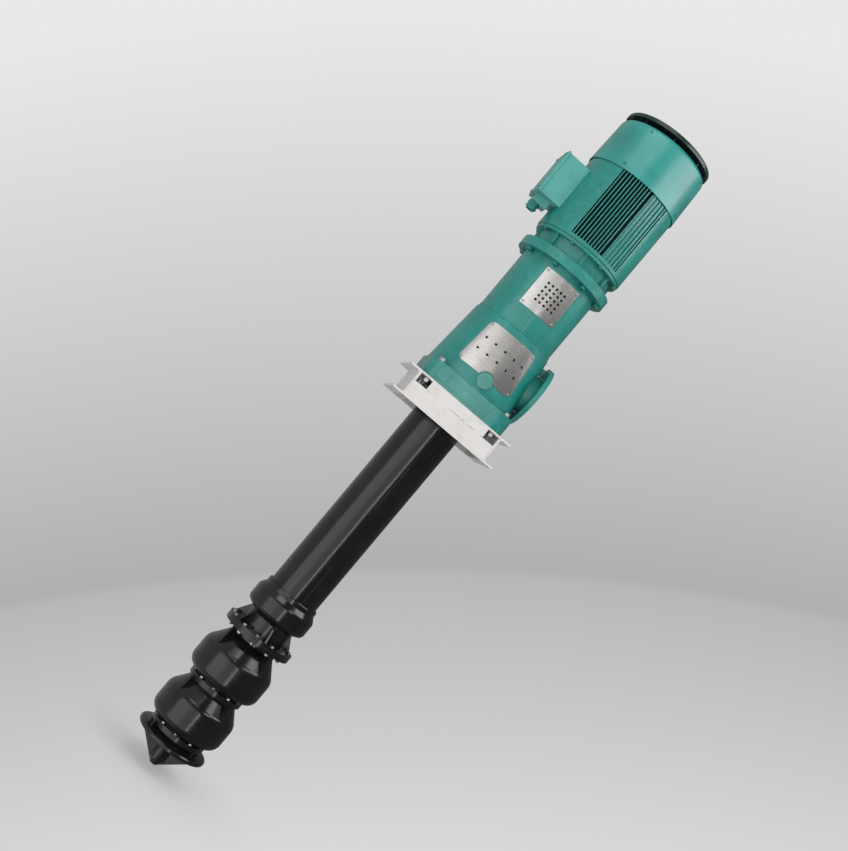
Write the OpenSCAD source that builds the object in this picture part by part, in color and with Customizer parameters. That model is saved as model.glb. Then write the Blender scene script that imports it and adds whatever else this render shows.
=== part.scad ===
// Line-shaft turbine pump: a vertical motor on a cast discharge head, a column pipe and two bowls.
// The origin is on the pump's axis at the underside of the base frame. Z is up, X points to the
// discharge flange, and the terminal box is on the opposite side. All lengths are in millimetres.

/* [Base frame] */
// Width between the backs of the two side channels
frame_w = 425; // [400:5:480]
// Length of the side channels, front to rear
frame_d = 432; // [420:4:460]
// Height of the rolled channels
channel_h = 127; // [115:1:160]
// Width of a channel's lip
channel_lip = 55; // [50:1:65]
// Thickness of a channel's web
channel_web_t = 7; // [5:0.5:9]
// Thickness of a channel's lip
channel_lip_t = 9; // [7:0.5:11]
// Thickness of the front and rear cross plates
cross_t = 10; // [6:1:14]
// Thickness of the welded pad under each head bolt
pad_t = 8; // [6:1:14]
// Width of the spanner opening below each pad
access_w = 57; // [50:1:64]
// Height of the spanner opening below each pad
access_h = 42; // [40:1:60]
// Anchor hole diameter in the channels' lips
anchor_d = 18; // [14:1:22]
// Distance of the anchor holes from a channel's back
anchor_in = 32; // [26:1:38]
// Distance between the anchor holes, front to rear
anchor_pitch = 260; // [200:10:320]

/* [Discharge head] */
// Width of the head's plinth
plinth_w = 432; // [424:2:450]
// Depth of the head's plinth
plinth_d = 432; // [424:2:440]
// Height of the head's plinth
plinth_h = 80; // [70:1:90]
// Corner radius of the plinth
plinth_r = 70; // [60:1:75]
// Head bolts, distance from the axis to the side
head_bolt_x = 175; // [172:1:178]
// Head bolts, distance from the axis to the front
head_bolt_y = 175; // [172:1:178]
// Thread diameter of the head bolts
head_bolt_d = 20; // [16:1:22]
// Radius of the head's body just above the plinth
head_low_r = 216; // [212:1:218]
// Radius of the head's body at its top
head_top_r = 193; // [188:1:200]
// Height of the head, plinth included
head_h = 385; // [382:1:400]
// Wall of the head's casting
head_wall = 14; // [10:1:16]
// Thickness of the head's bottom plate
head_floor_t = 24; // [20:1:28]
// Thickness of the ring that closes the head's top
head_ring_t = 18; // [14:1:22]
// Bore of the joint between head and motor stool
joint_bore_r = 140; // [130:1:145]
// Height of the discharge flange's centre above the head's foot
nozzle_up = 228; // [224:1:236]
// Distance from the axis to the discharge flange's face
nozzle_reach = 245; // [240:1:280]
// Bore of the discharge nozzle
nozzle_bore_d = 150; // [130:1:154]
// Wall of the water passage
passage_wall = 12; // [8:1:14]
// Bend radius of the water passage's elbow
elbow_r = 150; // [145:1:155]
// Outer diameter of the discharge flange
nozzle_flange_d = 285; // [275:1:295]
// Thickness of the discharge flange
nozzle_flange_t = 24; // [18:1:26]
// Bolt circle diameter of the discharge flange
nozzle_pcd = 240; // [236:1:244]
// Bolt holes of the discharge flange
nozzle_hole_d = 23; // [18:1:24]
// Number of bolt holes of the discharge flange
nozzle_holes = 8; // [4:4:12]

/* [Motor stool] */
// Outer radius of the stool's tube
stool_r = 186; // [184:1:187]
// Wall of the stool's tube
stool_wall = 12; // [8:1:14]
// Height of the stool
stool_h = 330; // [320:2:350]
// Diameter of the motor's flange and of the stool's top flange
motor_flange_d = 450; // [446:1:460]
// Bolt circle of the motor's flange
motor_pcd = 400; // [400:1:408]
// Thickness of each of the two motor flanges
motor_flange_t = 21; // [16:1:24]
// Thread diameter of the motor flange bolts
motor_bolt_d = 16; // [12:1:18]
// Diameter of the motor's spigot
spigot_d = 350; // [330:1:350]
// Depth of the motor's spigot
spigot_h = 5; // [3:0.5:6]

/* [Guards] */
// Sheet thickness of the four guards
guard_t = 2; // [1.5:0.5:3]
// Hole diameter in the guards
guard_hole_d = 11; // [8:0.5:12]
// Distance between the holes of a lower guard along its curve
lower_pitch = 50; // [44:1:52]
// Distance between the two hole rows of a lower guard
lower_row = 56; // [48:1:60]
// Distance between the holes of an upper guard
upper_pitch = 21.6; // [18:0.2:22]
// Thread diameter of the guard screws
guard_screw_d = 6; // [4:0.5:6]

/* [Motor] */
// Radius over the motor's fins
fin_r = 219; // [216:1:221]
// Outer radius of the motor frame's tube, at the foot of the fins
frame_tube_r = 182; // [178:1:184]
// Inner radius of the motor frame, the stator's seat
stator_r = 160; // [156:1:162]
// Thickness of a cooling fin
fin_t = 4.5; // [3.5:0.5:6]
// Distance between two deep fins
fin_pitch = 14.7; // [14:0.1:15]
// Number of deep fins on the front, and again on the rear
fin_count = 10; // [8:1:10]
// Distance between two shallow fins
rib_pitch = 18; // [16:0.5:18]
// Number of shallow fins on the front, and again on the rear
rib_count = 5; // [3:1:5]
// Height of the drive endshield above the motor flange's face
endshield_h = 98; // [94:1:104]
// Length of the finned motor frame
motor_frame_h = 360; // [350:2:370]
// Length of the stator's stack
stack_h = 240; // [200:5:250]
// Radius of the stator's bore
stator_bore_r = 105; // [100:1:106]
// Air gap between rotor and stator
air_gap = 0.8; // [0.5:0.1:1.5]
// Radius of the motor shaft's drive end
motor_shaft_r = 30; // [27.5:0.5:31]
// Length of the motor shaft below the motor flange's face
motor_shaft_len = 140; // [136:1:144]
// Radius of the fan cowl at its lower edge
cowl_low_r = 225; // [224:0.5:226]
// Radius of the fan cowl at its top
cowl_top_r = 217.5; // [214:0.5:220]
// Height of the fan cowl
cowl_h = 206; // [200:1:212]
// Sheet thickness of the fan cowl
cowl_t = 2.5; // [2:0.5:3]
// Radius of the rain canopy
canopy_r = 215; // [210:1:218]
// Open gap between the fan cowl and the rain canopy
canopy_gap = 24; // [20:1:34]
// Radius of the cooling fan
fan_r = 168; // [150:1:175]
// Number of the fan's blades
fan_blades = 9; // [5:1:12]

/* [Terminal box] */
// Distance from the axis to the lid's face
box_reach = 323; // [318:1:335]
// Width of the terminal box, front to rear
box_w = 180; // [160:1:190]
// Height of the terminal box
box_h = 200; // [180:1:210]
// Wall of the terminal box
box_wall = 7; // [5:1:9]
// Thickness of the terminal box's lid
lid_t = 14; // [10:1:18]
// Bore of the cable gland
gland_bore_d = 32; // [24:1:34]

/* [Shafts] */
// Radius of the pump's shafts
shaft_r = 20; // [18:0.5:20.5]
// Radial running clearance of a bush on its shaft
running_gap = 0.05; // [0.03:0.01:0.09]
// Outer radius of the bearing bushes
bush_r = 28; // [26:0.5:30]
// Radius of the coupling's flanges
coupling_r = 85; // [80:1:92]

/* [Column] */
// Outer radius of the column pipe
column_r = 117; // [116:0.1:118]
// Wall of the column pipe
column_wall = 8; // [6:0.5:9]
// Length of the column pipe below the base frame's underside
column_drop = 985; // [700:5:1500]
// Radius of the column's top flange
column_flange_r = 167; // [165:1:170]
// Thickness of the column's top flange
column_flange_t = 25; // [20:1:28]
// Radius of the column's bolt circle
column_bolt_r = 148; // [146:1:150]
// Depth of the discharge case's socket round the pipe
socket_h = 50; // [40:1:55]

/* [Bowls] */
// Angle by which the bowl assembly is turned on the column
bowl_turn = -7.5; // [-20:0.5:20]
// Greatest radius of a bowl
bowl_r = 173; // [170:1:176]
// Length of a bowl from joint to joint
bowl_h = 247; // [244:1:252]
// Length of the neck between the upper bowl and its big flange
neck_h = 36; // [34:1:50]
// Radius of the big flanges above the upper bowl
big_flange_r = 164; // [162:1:167]
// Thickness of each big flange
big_flange_t = 16; // [14:1:17]
// Bolt circle radius of the big flanges
big_bolt_r = 146; // [144:1:148]
// Radius of the lips that join the bowls
lip_r = 133; // [131:1:136]
// Radius of the screw circle in the lips
lip_screw_r = 122; // [121:0.5:123]
// Number of screws in a bowl joint
lip_screws = 10; // [6:2:10]
// Radius of a bowl's throat round the impeller
throat_r = 98; // [97:1:99]
// Number of guide vanes in a bowl
guide_vanes = 7; // [5:1:8]
// Number of vanes on an impeller
impeller_vanes = 6; // [4:1:7]
// Thickness of the vanes
vane_t = 5; // [4:0.5:7]
// Radial gap between an impeller's skirt and its wear ring
wear_gap = 0.3; // [0.2:0.05:0.5]
// Radius of the suction bell's rim
bell_r = 170; // [166:1:174]
// Height of the suction bell from its joint to its rim
bell_h = 54; // [52:1:60]
// Reach of the suction hub below the bell's rim
hub_drop = 120; // [114:1:130]

/* [Hidden] */
$fn = 96;

// Small clearances: between pieces that are bolted or pressed, and round a bolt in its hole
seat = 0.1;
bolt_gap = 0.5;
over = 1;

// Colours as the pump is painted
teal = "#3d8f86";
black = "#2a2a2a";
pale = "#e4e1df";
steel = "#b9bcbe";
bronze = "#a8793f";
copper = "#b06a3b";

// Heights above the base frame's underside
head_z = channel_h;
plinth_z = head_z + plinth_h;
stool_z = head_z + head_h;
motor_z = stool_z + stool_h;
flange_top_z = motor_z + motor_flange_t;
frame_z = motor_z + endshield_h;
frame_end_z = frame_z + motor_frame_h;
cowl_top_z = frame_end_z + cowl_h;
nozzle_z = head_z + nozzle_up;
elbow_z = nozzle_z - elbow_r;
socket_top_z = -column_drop + socket_h;
case_h = 229;
big_joint_z = socket_top_z - case_h;
upper_bowl_z = big_joint_z - neck_h;
joint_1_z = upper_bowl_z - bowl_h;
joint_2_z = joint_1_z - bowl_h;
rim_z = joint_2_z - bell_h;
hub_end_z = rim_z - hub_drop;

// Radius of the head's conical body at a height, and the angle that faces the viewer's side
function head_r(z) = head_low_r + (head_top_r - head_low_r) * (z - plinth_z) / (stool_z - plinth_z);
front = -90;

module ring(r_out, r_in, h) {
    difference() {
        cylinder(r = r_out, h = h);
        translate([0, 0, -over]) cylinder(r = r_in, h = h + 2 * over);
    }
}

module around(count, r, first = front) {
    for (i = [0 : count - 1]) rotate([0, 0, first + i * 360 / count]) translate([r, 0, 0]) children();
}

module both_sides() {
    children();
    mirror([0, 1, 0]) children();
}

module hexagon(across, h) {
    cylinder(d = across / cos(30), h = h, $fn = 6);
}

// A hexagon bolt: its head sits on z = 0, its shank hangs below
module bolt(d, length) {
    hexagon(1.5 * d, 0.63 * d);
    translate([0, 0, -length]) cylinder(d = d - 2 * bolt_gap, h = length + over);
}

// A nut or a washer that sits on z = 0
module nut(d, across_ratio = 1.5) {
    difference() {
        hexagon(across_ratio * d, 0.8 * d);
        translate([0, 0, -over]) cylinder(d = d - 2 * bolt_gap + 2 * seat, h = d + 2 * over);
    }
}

module washer(d) {
    ring(d * 0.92, d / 2 + seat, 0.15 * d);
}

// Base frame
module root_fillet(r) {
    difference() {
        square(r);
        translate([r, r]) circle(r);
    }
}

module channel_profile() {
    root_r = channel_lip_t;
    square([channel_web_t, channel_h]);
    square([channel_lip, channel_lip_t]);
    translate([0, channel_h - channel_lip_t]) square([channel_lip, channel_lip_t]);
    translate([channel_web_t, channel_lip_t]) root_fillet(root_r);
    translate([channel_web_t, channel_h - channel_lip_t]) mirror([0, 1]) root_fillet(root_r);
}

module base_channel_right() {
    color(pale) difference() {
        translate([frame_w / 2, frame_d / 2, 0]) rotate([90, 0, 0])
            linear_extrude(frame_d) channel_profile();
        for (y = [-1, 1]) translate([frame_w / 2 + anchor_in, y * anchor_pitch / 2, -over])
            cylinder(d = anchor_d, h = channel_lip_t + 2 * over);
    }
}

module base_channel_left() {
    mirror([1, 0, 0]) base_channel_right();
}

module cross_member_front() {
    pad_w = frame_w / 2 - head_bolt_x + 1.5 * head_bolt_d;
    pad_d = frame_d / 2 - head_bolt_y + 1.5 * head_bolt_d;
    access_edge = 4;
    access_x = frame_w / 2 - access_edge - access_w;
    color(pale) difference() {
        translate([-frame_w / 2, -frame_d / 2, 0]) union() {
            cube([frame_w, cross_t, channel_h]);
            for (x = [0, frame_w - pad_w]) translate([x, 0, channel_h - pad_t]) cube([pad_w, pad_d, pad_t]);
        }
        for (side = [-1, 1]) {
            translate([side * (access_x + access_w / 2), -frame_d / 2, channel_h - pad_t - access_h / 2])
                cube([access_w, 3 * cross_t, access_h], center = true);
            translate([side * head_bolt_x, -head_bolt_y, channel_h - pad_t - over])
                cylinder(d = head_bolt_d + 2 * bolt_gap, h = pad_t + 2 * over);
        }
    }
}

module cross_member_rear() {
    mirror([0, 1, 0]) cross_member_front();
}

// Discharge head
module round_rect(w, d, r) {
    square([w - 2 * r, d], center = true);
    square([w, d - 2 * r], center = true);
    for (x = [-1, 1], y = [-1, 1]) translate([x * (w / 2 - r), y * (d / 2 - r)]) circle(r);
}

module at_head_bolts() {
    for (x = [-1, 1], y = [-1, 1]) translate([x * head_bolt_x, y * head_bolt_y, 0]) children();
}

// Heights of the lower guard's screws, and their angles from the front
lower_low = 279;
lower_high = 463;
lower_low_angle = 36.5;
lower_high_angle = 33.6;
window_low = lower_low + 11;
window_high = lower_high - 13;
window_half = 104;
window_corner_r = 22;

// The opening behind a lower guard, cut from the front through the wall
module head_window() {
    translate([0, -head_low_r - over, (window_low + window_high) / 2]) rotate([-90, 0, 0])
        linear_extrude(head_low_r * 0.35)
            round_rect(2 * window_half, window_high - window_low, window_corner_r);
}

// A curve that sweeps a circle from the vertical water passage into the nozzle
module passage(extra) {
    r = nozzle_bore_d / 2 + extra;
    inlet_r = column_r - column_wall;
    leg = elbow_z - head_z;
    low = extra > 0 ? 0 : over;
    mouth = extra > 0 ? -over : over;
    translate([0, 0, head_z - low]) cylinder(r = inlet_r + extra / 2, h = head_floor_t + low);
    translate([0, 0, head_z + head_floor_t])
        cylinder(r1 = inlet_r + extra / 2, r2 = r, h = leg - head_floor_t);
    translate([elbow_r, 0, elbow_z]) rotate([90, 0, 0]) rotate([0, 0, 90])
        rotate_extrude(angle = 90) translate([elbow_r, 0]) circle(r);
    translate([elbow_r, 0, nozzle_z]) rotate([0, 90, 0]) cylinder(r = r, h = nozzle_reach - elbow_r + mouth);
}

seal_seat_z = nozzle_z + 75;
seal_boss_r = 72;
seal_spigot_r = 46;
seal_flange_t = 16;
seal_screw_d = 10;
seal_screw_r = 60;
stool_bolt_r = 158;
stool_bolt_d = 12;
column_bolt_d = 16;
seal_screw_len = 34;

module head_shell() {
    difference() {
        union() {
            translate([0, 0, head_z]) linear_extrude(plinth_h) round_rect(plinth_w, plinth_d, plinth_r);
            intersection() {
                translate([0, 0, plinth_z])
                    cylinder(r1 = head_low_r, r2 = head_top_r, h = stool_z - plinth_z);
                translate([0, 0, plinth_z]) cylinder(r1 = head_top_r - shoulder + stool_z - plinth_z,
                    r2 = head_top_r - shoulder, h = stool_z - plinth_z);
            }
        }
        translate([0, 0, head_z + head_floor_t]) linear_extrude(plinth_h - head_floor_t - head_wall)
            round_rect(plinth_w - 2 * head_wall, plinth_d - 2 * head_wall, plinth_r - head_wall);
        translate([0, 0, plinth_z - head_wall - over])
            cylinder(r = head_low_r - head_wall, h = head_wall + over);
        translate([0, 0, plinth_z]) cylinder(r1 = head_low_r - head_wall,
            r2 = head_r(stool_z - head_ring_t) - head_wall, h = stool_z - head_ring_t - plinth_z);
        translate([0, 0, stool_z - head_ring_t - over])
            cylinder(r = joint_bore_r, h = head_ring_t + 2 * over);
        both_sides() head_window();
    }
}

// Trims of the head's casting: the blank boss, the bare panel and the machined pad, each with its
// size and how far it stands out, the gussets behind the flange and the flange's raised face
shoulder = 5;
boss_x = 9;
boss_z = 258;
boss_r = 35;
boss_out = 7;
panel = [210, 40, 2];
panel_z = 140;
pad = [50, 50, 2];
pad_x = -162;
pad_z = 143;
gusset_x = 170;
gusset_at = 92;
gusset_h = 36;
gusset_t = 12;
raised_face_t = 3;
raised_face_d = nozzle_pcd - nozzle_hole_d - 12;

module head_additions() {
    at_head_bolts() translate([0, 0, head_z]) cylinder(r = 1.2 * head_bolt_d, h = plinth_h);
    passage(passage_wall);
    translate([0, 0, nozzle_z]) cylinder(r = seal_boss_r, h = seal_seat_z - nozzle_z);
    translate([nozzle_reach - nozzle_flange_t, 0, nozzle_z]) rotate([0, 90, 0]) {
        cylinder(d = nozzle_flange_d, h = nozzle_flange_t - raised_face_t);
        cylinder(d = raised_face_d, h = nozzle_flange_t);
    }
    // Gussets between the flange's back and the body, above and below the nozzle
    for (z = [gusset_at, -gusset_at - gusset_h]) translate([gusset_x, -gusset_t / 2, nozzle_z + z])
        cube([nozzle_reach - nozzle_flange_t / 2 - gusset_x - over, gusset_t, gusset_h]);
    // Blank round boss below the front guard
    translate([boss_x, -head_r(boss_z) - boss_out, boss_z]) rotate([-90, 0, 0])
        cylinder(r = boss_r, h = 2 * boss_out + 2);
    // Bare raised panel and a machined pad on the front of the plinth
    translate([-panel[0] / 2, -plinth_d / 2 - panel[2], panel_z]) cube([panel[0], 3 * panel[2], panel[1]]);
    translate([pad_x, -plinth_d / 2 - pad[2], pad_z]) cube([pad[0], 3 * pad[2], pad[1]]);
}

module discharge_head() {
    color(teal) difference() {
        union() {
            head_shell();
            head_additions();
        }
        passage(0);
        translate([0, 0, nozzle_z - 20]) cylinder(r = seal_spigot_r, h = seal_seat_z);
        at_head_bolts() translate([0, 0, head_z - over])
            cylinder(d = head_bolt_d + 2 * bolt_gap, h = plinth_h + 2 * over);
        translate([nozzle_reach - nozzle_flange_t - over, 0, nozzle_z]) rotate([0, 90, 0])
            around(nozzle_holes, nozzle_pcd / 2, 180 / nozzle_holes)
                cylinder(d = nozzle_hole_d, h = nozzle_flange_t + 2 * over);
        translate([0, 0, head_z - over]) around(8, column_bolt_r, 22.5)
            cylinder(d = column_bolt_d, h = head_floor_t - 3);
        translate([0, 0, stool_z - head_ring_t - over]) around(6, stool_bolt_r, 0)
            cylinder(d = stool_bolt_d, h = head_ring_t + 2 * over);
        translate([0, 0, seal_seat_z + seal_flange_t - seal_screw_len - 4]) around(4, seal_screw_r, 45)
            cylinder(d = seal_screw_d, h = seal_screw_len);
        both_sides() at_lower_screws() screw_hole();
    }
}

module head_bolts() {
    color(steel) at_head_bolts() {
        translate([0, 0, plinth_z]) {
            washer(head_bolt_d);
            translate([0, 0, 0.15 * head_bolt_d + seat])
                bolt(head_bolt_d, plinth_h + pad_t + 1.7 * head_bolt_d);
        }
        translate([0, 0, channel_h - pad_t]) mirror([0, 0, 1]) {
            washer(head_bolt_d);
            translate([0, 0, 0.15 * head_bolt_d + seat]) nut(head_bolt_d);
        }
    }
}

// Shaft seal: a packed stuffing box with its follower
box_top_z = seal_seat_z + 62;
seal_spigot_len = 30;
packing_r = 32;
packing_h = 10;
packing_count = 5;
packing_z = box_top_z - 12 - packing_count * packing_h;
packing_top_z = packing_z + packing_count * packing_h;
stud_at = 52;
stud_d = 12;
stud_boss_r = 13;
stud_depth = 22;
stud_len = 82;
follower_z = box_top_z + 12;
follower_t = 12;
follower_r = 42;
gland_nut_h = 10;

module at_studs() {
    for (side = [-1, 1]) translate([side * stud_at, 0, 0]) children();
}

module stuffing_box() {
    color(black) difference() {
        union() {
            translate([0, 0, seal_seat_z - seal_spigot_len])
                cylinder(r = seal_spigot_r - seat, h = seal_spigot_len);
            translate([0, 0, seal_seat_z]) cylinder(r = seal_boss_r, h = seal_flange_t);
            translate([0, 0, seal_seat_z]) cylinder(r = seal_spigot_r, h = box_top_z - seal_seat_z);
            at_studs() translate([0, 0, seal_seat_z]) cylinder(r = stud_boss_r, h = box_top_z - seal_seat_z);
        }
        translate([0, 0, seal_seat_z - seal_spigot_len - over]) 
            cylinder(r = shaft_r + running_gap, h = packing_z - seal_seat_z + seal_spigot_len + 2 * over);
        translate([0, 0, packing_z]) cylinder(r = packing_r, h = box_top_z - packing_z + over);
        at_studs() translate([0, 0, box_top_z - stud_depth - 2])
            cylinder(d = stud_d, h = stud_depth + 2 + over);
        translate([0, 0, seal_seat_z - over]) around(4, seal_screw_r, 45)
            cylinder(d = seal_screw_d + 2 * bolt_gap, h = seal_flange_t + 2 * over);
    }
    color(steel) translate([0, 0, seal_seat_z + seal_flange_t + seat]) around(4, seal_screw_r, 45)
        bolt(seal_screw_d, seal_screw_len);
}

module packing_rings() {
    color("#4a4438") for (i = [0 : packing_count - 1])
        translate([0, 0, packing_z + i * packing_h])
            ring(packing_r - seat, shaft_r + running_gap, packing_h - seat);
}

module gland_follower() {
    color(bronze) difference() {
        union() {
            translate([0, 0, packing_top_z + 3 * seat])
                cylinder(r = packing_r - running_gap, h = follower_z - packing_top_z);
            translate([0, 0, follower_z]) {
                cylinder(r = follower_r, h = follower_t);
                at_studs() cylinder(r = stud_boss_r + 1, h = follower_t);
                translate([-stud_at, -stud_boss_r - 1, 0])
                    cube([2 * stud_at, 2 * stud_boss_r + 2, follower_t]);
            }
        }
        translate([0, 0, packing_z]) cylinder(r = shaft_r + running_gap, h = 2 * (follower_z - packing_z));
        at_studs() translate([0, 0, follower_z - over])
            cylinder(d = stud_d + 2 * bolt_gap, h = follower_t + 2 * over);
    }
}

module gland_studs() {
    color(steel) at_studs() translate([0, 0, box_top_z - stud_depth])
        cylinder(r = stud_d / 2 - seat, h = stud_len);
}

module gland_nuts() {
    color(steel) at_studs() translate([0, 0, follower_z + follower_t]) difference() {
        hexagon(1.5 * stud_d, gland_nut_h);
        translate([0, 0, -over]) cylinder(r = stud_d / 2 - seat / 2, h = gland_nut_h + 2 * over);
    }
}

// Motor stool
stool_window_w = 130;
stool_window_h = 140;
stool_window_z = 697;
stool_rim = 2.5;
stool_spigot_h = 6;
stool_spigot_wall = 14;
motor_bolt_gap = 1.25;
motor_bolts = 8;

module at_motor_bolts() {
    around(motor_bolts, motor_pcd / 2, 180 / motor_bolts) children();
}

module motor_stool() {
    color(teal) difference() {
        union() {
            translate([0, 0, stool_z]) cylinder(r = stool_r, h = stool_h);
            translate([0, 0, stool_z]) cylinder(r = stool_r + stool_rim, h = 4 * stool_rim);
            translate([0, 0, motor_z - motor_flange_t]) cylinder(d = motor_flange_d, h = motor_flange_t);
            translate([0, 0, stool_z - stool_spigot_h])
                cylinder(r = joint_bore_r - seat, h = 2 * stool_spigot_h);
        }
        translate([0, 0, stool_z + head_ring_t]) cylinder(r = stool_r - stool_wall, h = stool_h);
        translate([0, 0, stool_z - stool_spigot_h - over])
            cylinder(r = joint_bore_r - stool_spigot_wall, h = stool_h);
        translate([0, 0, stool_z - over]) around(6, stool_bolt_r, 0)
            cylinder(d = stool_bolt_d + 2 * bolt_gap, h = head_ring_t + 2 * over);
        translate([0, 0, motor_z - spigot_h - bolt_gap])
            cylinder(d = spigot_d + 2 * seat, h = motor_flange_t);
        translate([0, 0, motor_z - motor_flange_t - over]) at_motor_bolts()
            cylinder(d = motor_bolt_d + 2 * motor_bolt_gap, h = motor_flange_t + 2 * over);
        both_sides() translate([-stool_window_w / 2, -stool_r - over, stool_window_z - stool_window_h / 2])
            cube([stool_window_w, stool_r * 0.4, stool_window_h]);
        both_sides() at_upper_screws() screw_hole();
    }
}

module stool_bolts() {
    color(steel) translate([0, 0, stool_z + head_ring_t]) around(6, stool_bolt_r, 0)
        bolt(stool_bolt_d, 2 * head_ring_t - 4);
}

// Guards, and the screws that hold their corners
upper_screw_x = 77;
upper_screw_z = 82;
lower_edge = 10;
upper_edge = 11;
screw_reach = 8;
screw_head_h = 2.5;

module at_lower_screws() {
    tilt = atan((head_low_r - head_top_r) / (stool_z - plinth_z));
    for (side = [-1, 1], place = [[lower_low, lower_low_angle], [lower_high, lower_high_angle]])
        rotate([0, 0, front + side * place[1]])
            translate([head_r(place[0]), 0, place[0]]) rotate([0, 90 - tilt, 0]) children();
}

module at_upper_screws() {
    for (side = [-1, 1], z = [-1, 1])
        rotate([0, 0, front + side * asin(upper_screw_x / stool_r)])
            translate([stool_r, 0, stool_window_z + z * upper_screw_z]) rotate([0, 90, 0]) children();
}

module screw_hole() {
    translate([0, 0, -screw_reach - 2]) cylinder(d = guard_screw_d, h = screw_reach + 6);
}

module guard_screw() {
    translate([0, 0, guard_t + 2 * seat]) cylinder(d = 2 * guard_screw_d, h = screw_head_h);
    translate([0, 0, -screw_reach]) cylinder(d = guard_screw_d - 2 * seat, h = screw_reach + guard_t + over);
}

// Outline of a lower guard as seen from the front: it narrows upwards as the head does
module lower_outline() {
    low_x = head_r(lower_low) * sin(lower_low_angle) - lower_edge;
    high_x = head_r(lower_high) * sin(lower_high_angle) - lower_edge;
    hull() for (side = [-1, 1]) {
        translate([side * low_x, lower_low + lower_edge]) circle(window_corner_r, $fn = 32);
        translate([side * high_x, lower_high - lower_edge]) circle(window_corner_r, $fn = 32);
    }
}

module guard_lower_front() {
    mid_z = (lower_low + lower_high) / 2 + 4;
    color(steel) difference() {
        intersection() {
            translate([0, 0, plinth_z]) difference() {
                cylinder(r1 = head_low_r + guard_t + seat,
                    r2 = head_top_r + guard_t + seat, h = stool_z - plinth_z);
                cylinder(r1 = head_low_r + seat, r2 = head_top_r + seat, h = stool_z - plinth_z);
            }
            rotate([90, 0, 0]) linear_extrude(head_low_r + 20) lower_outline();
        }
        for (row = [-1, 1], i = [-2 : 2])
            rotate([0, 0, front + i * lower_pitch / head_r(mid_z) * 180 / PI])
                translate([head_low_r - 60, 0, mid_z + row * lower_row / 2]) rotate([0, 90, 0])
                    cylinder(d = guard_hole_d, h = 80);
        translate([boss_x, -head_low_r - 20, boss_z]) rotate([-90, 0, 0]) cylinder(r = boss_r + 4, h = 80);
        at_lower_screws() translate([0, 0, -over])
            cylinder(d = guard_screw_d + 2 * bolt_gap, h = guard_t + 6);
    }
}

module guard_lower_rear() {
    mirror([0, 1, 0]) guard_lower_front();
}

module guard_upper_front() {
    half_w = upper_screw_x + upper_edge;
    half_h = upper_screw_z + upper_edge;
    color(steel) difference() {
        intersection() {
            translate([0, 0, stool_window_z - half_h])
                ring(stool_r + guard_t + seat, stool_r + seat, 2 * half_h);
            translate([-half_w, -stool_r - 20, stool_window_z - half_h]) cube([2 * half_w, 120, 2 * half_h]);
        }
        for (row = [-2 : 2], i = [-2 : 2])
            rotate([0, 0, front + i * upper_pitch / stool_r * 180 / PI])
                translate([stool_r - 20, 0, stool_window_z - 3 + row * upper_pitch]) rotate([0, 90, 0])
                    cylinder(d = guard_hole_d, h = 40);
        at_upper_screws() translate([0, 0, -over])
            cylinder(d = guard_screw_d + 2 * bolt_gap, h = guard_t + 6);
    }
}

module guard_upper_rear() {
    mirror([0, 1, 0]) guard_upper_front();
}

module guard_screws() {
    color(steel) both_sides() {
        at_lower_screws() guard_screw();
        at_upper_screws() guard_screw();
    }
}

// Motor
drive_bearing_z = motor_z + 43;
rear_bearing_z = frame_end_z - 6;
stack_z = frame_z + (motor_frame_h - stack_h) / 2;
cable_way_z = frame_z + motor_frame_h / 2 + 30;
cable_way_r = 20;
rim_t = 15;
shield_bolt_r = 203;
shield_bolt_d = 12;
shield_bolts = 8;
shield_rib_t = 13;
rear_bolt_r = 171;
rear_bolt_d = 10;
rear_shield_t = 20;

// A deep-groove bearing: its seat radii, its width and its balls
drive_bearing = [70, motor_shaft_r + 2.5, 33, 12];
rear_bearing = [65, motor_shaft_r, 29, 11];
function ball_track(b) = (b[0] + b[1]) / 2;

module drive_endshield() {
    foot_r = motor_pcd / 2 - 0.87 * motor_bolt_d - 3;
    shoulder_r = foot_r + 6;
    color(teal) difference() {
        union() {
            translate([0, 0, motor_z]) cylinder(d = motor_flange_d, h = motor_flange_t);
            translate([0, 0, motor_z - spigot_h]) cylinder(d = spigot_d, h = 10);
            translate([0, 0, flange_top_z - over])
                cylinder(r1 = foot_r, r2 = shoulder_r, h = frame_z - flange_top_z);
            translate([0, 0, frame_z - rim_t]) cylinder(r = fin_r - 5, h = rim_t);
            // Cast ribs that stiffen the neck between the bolts
            for (i = [0 : shield_bolts - 1]) rotate([0, 0, front + i * 360 / shield_bolts])
                translate([0, shield_rib_t / 2, 0])
                rotate([90, 0, 0]) linear_extrude(shield_rib_t) polygon([[foot_r - 8, flange_top_z - over],
                    [foot_r + 27, flange_top_z - over], [foot_r + 14, flange_top_z + 16],
                    [foot_r + 14, frame_z - rim_t - 12],
                    [foot_r + 25, frame_z - rim_t + over], [foot_r - 8, frame_z - rim_t + over]]);
        }
        translate([0, 0, motor_z + 24]) difference() {
            cylinder(r = foot_r - 12, h = endshield_h);
            cylinder(r = drive_bearing[0] + 16, h = drive_bearing_z + drive_bearing[2] - motor_z - 20);
        }
        translate([0, 0, drive_bearing_z]) cylinder(r = drive_bearing[0] + seat / 2, h = endshield_h);
        translate([0, 0, motor_z - 20]) cylinder(r = motor_shaft_r + 4, h = endshield_h);
        translate([0, 0, motor_z - spigot_h - over]) cylinder(r = 100, h = spigot_h + over + 8);
        translate([0, 0, motor_z - over]) at_motor_bolts()
            cylinder(d = motor_bolt_d + 2 * motor_bolt_gap, h = motor_flange_t + 2 * over);
        translate([0, 0, frame_z - rim_t - over]) around(shield_bolts, shield_bolt_r, 180 / shield_bolts)
            cylinder(d = shield_bolt_d + 2 * bolt_gap, h = rim_t + 2 * over);
    }
}

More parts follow.
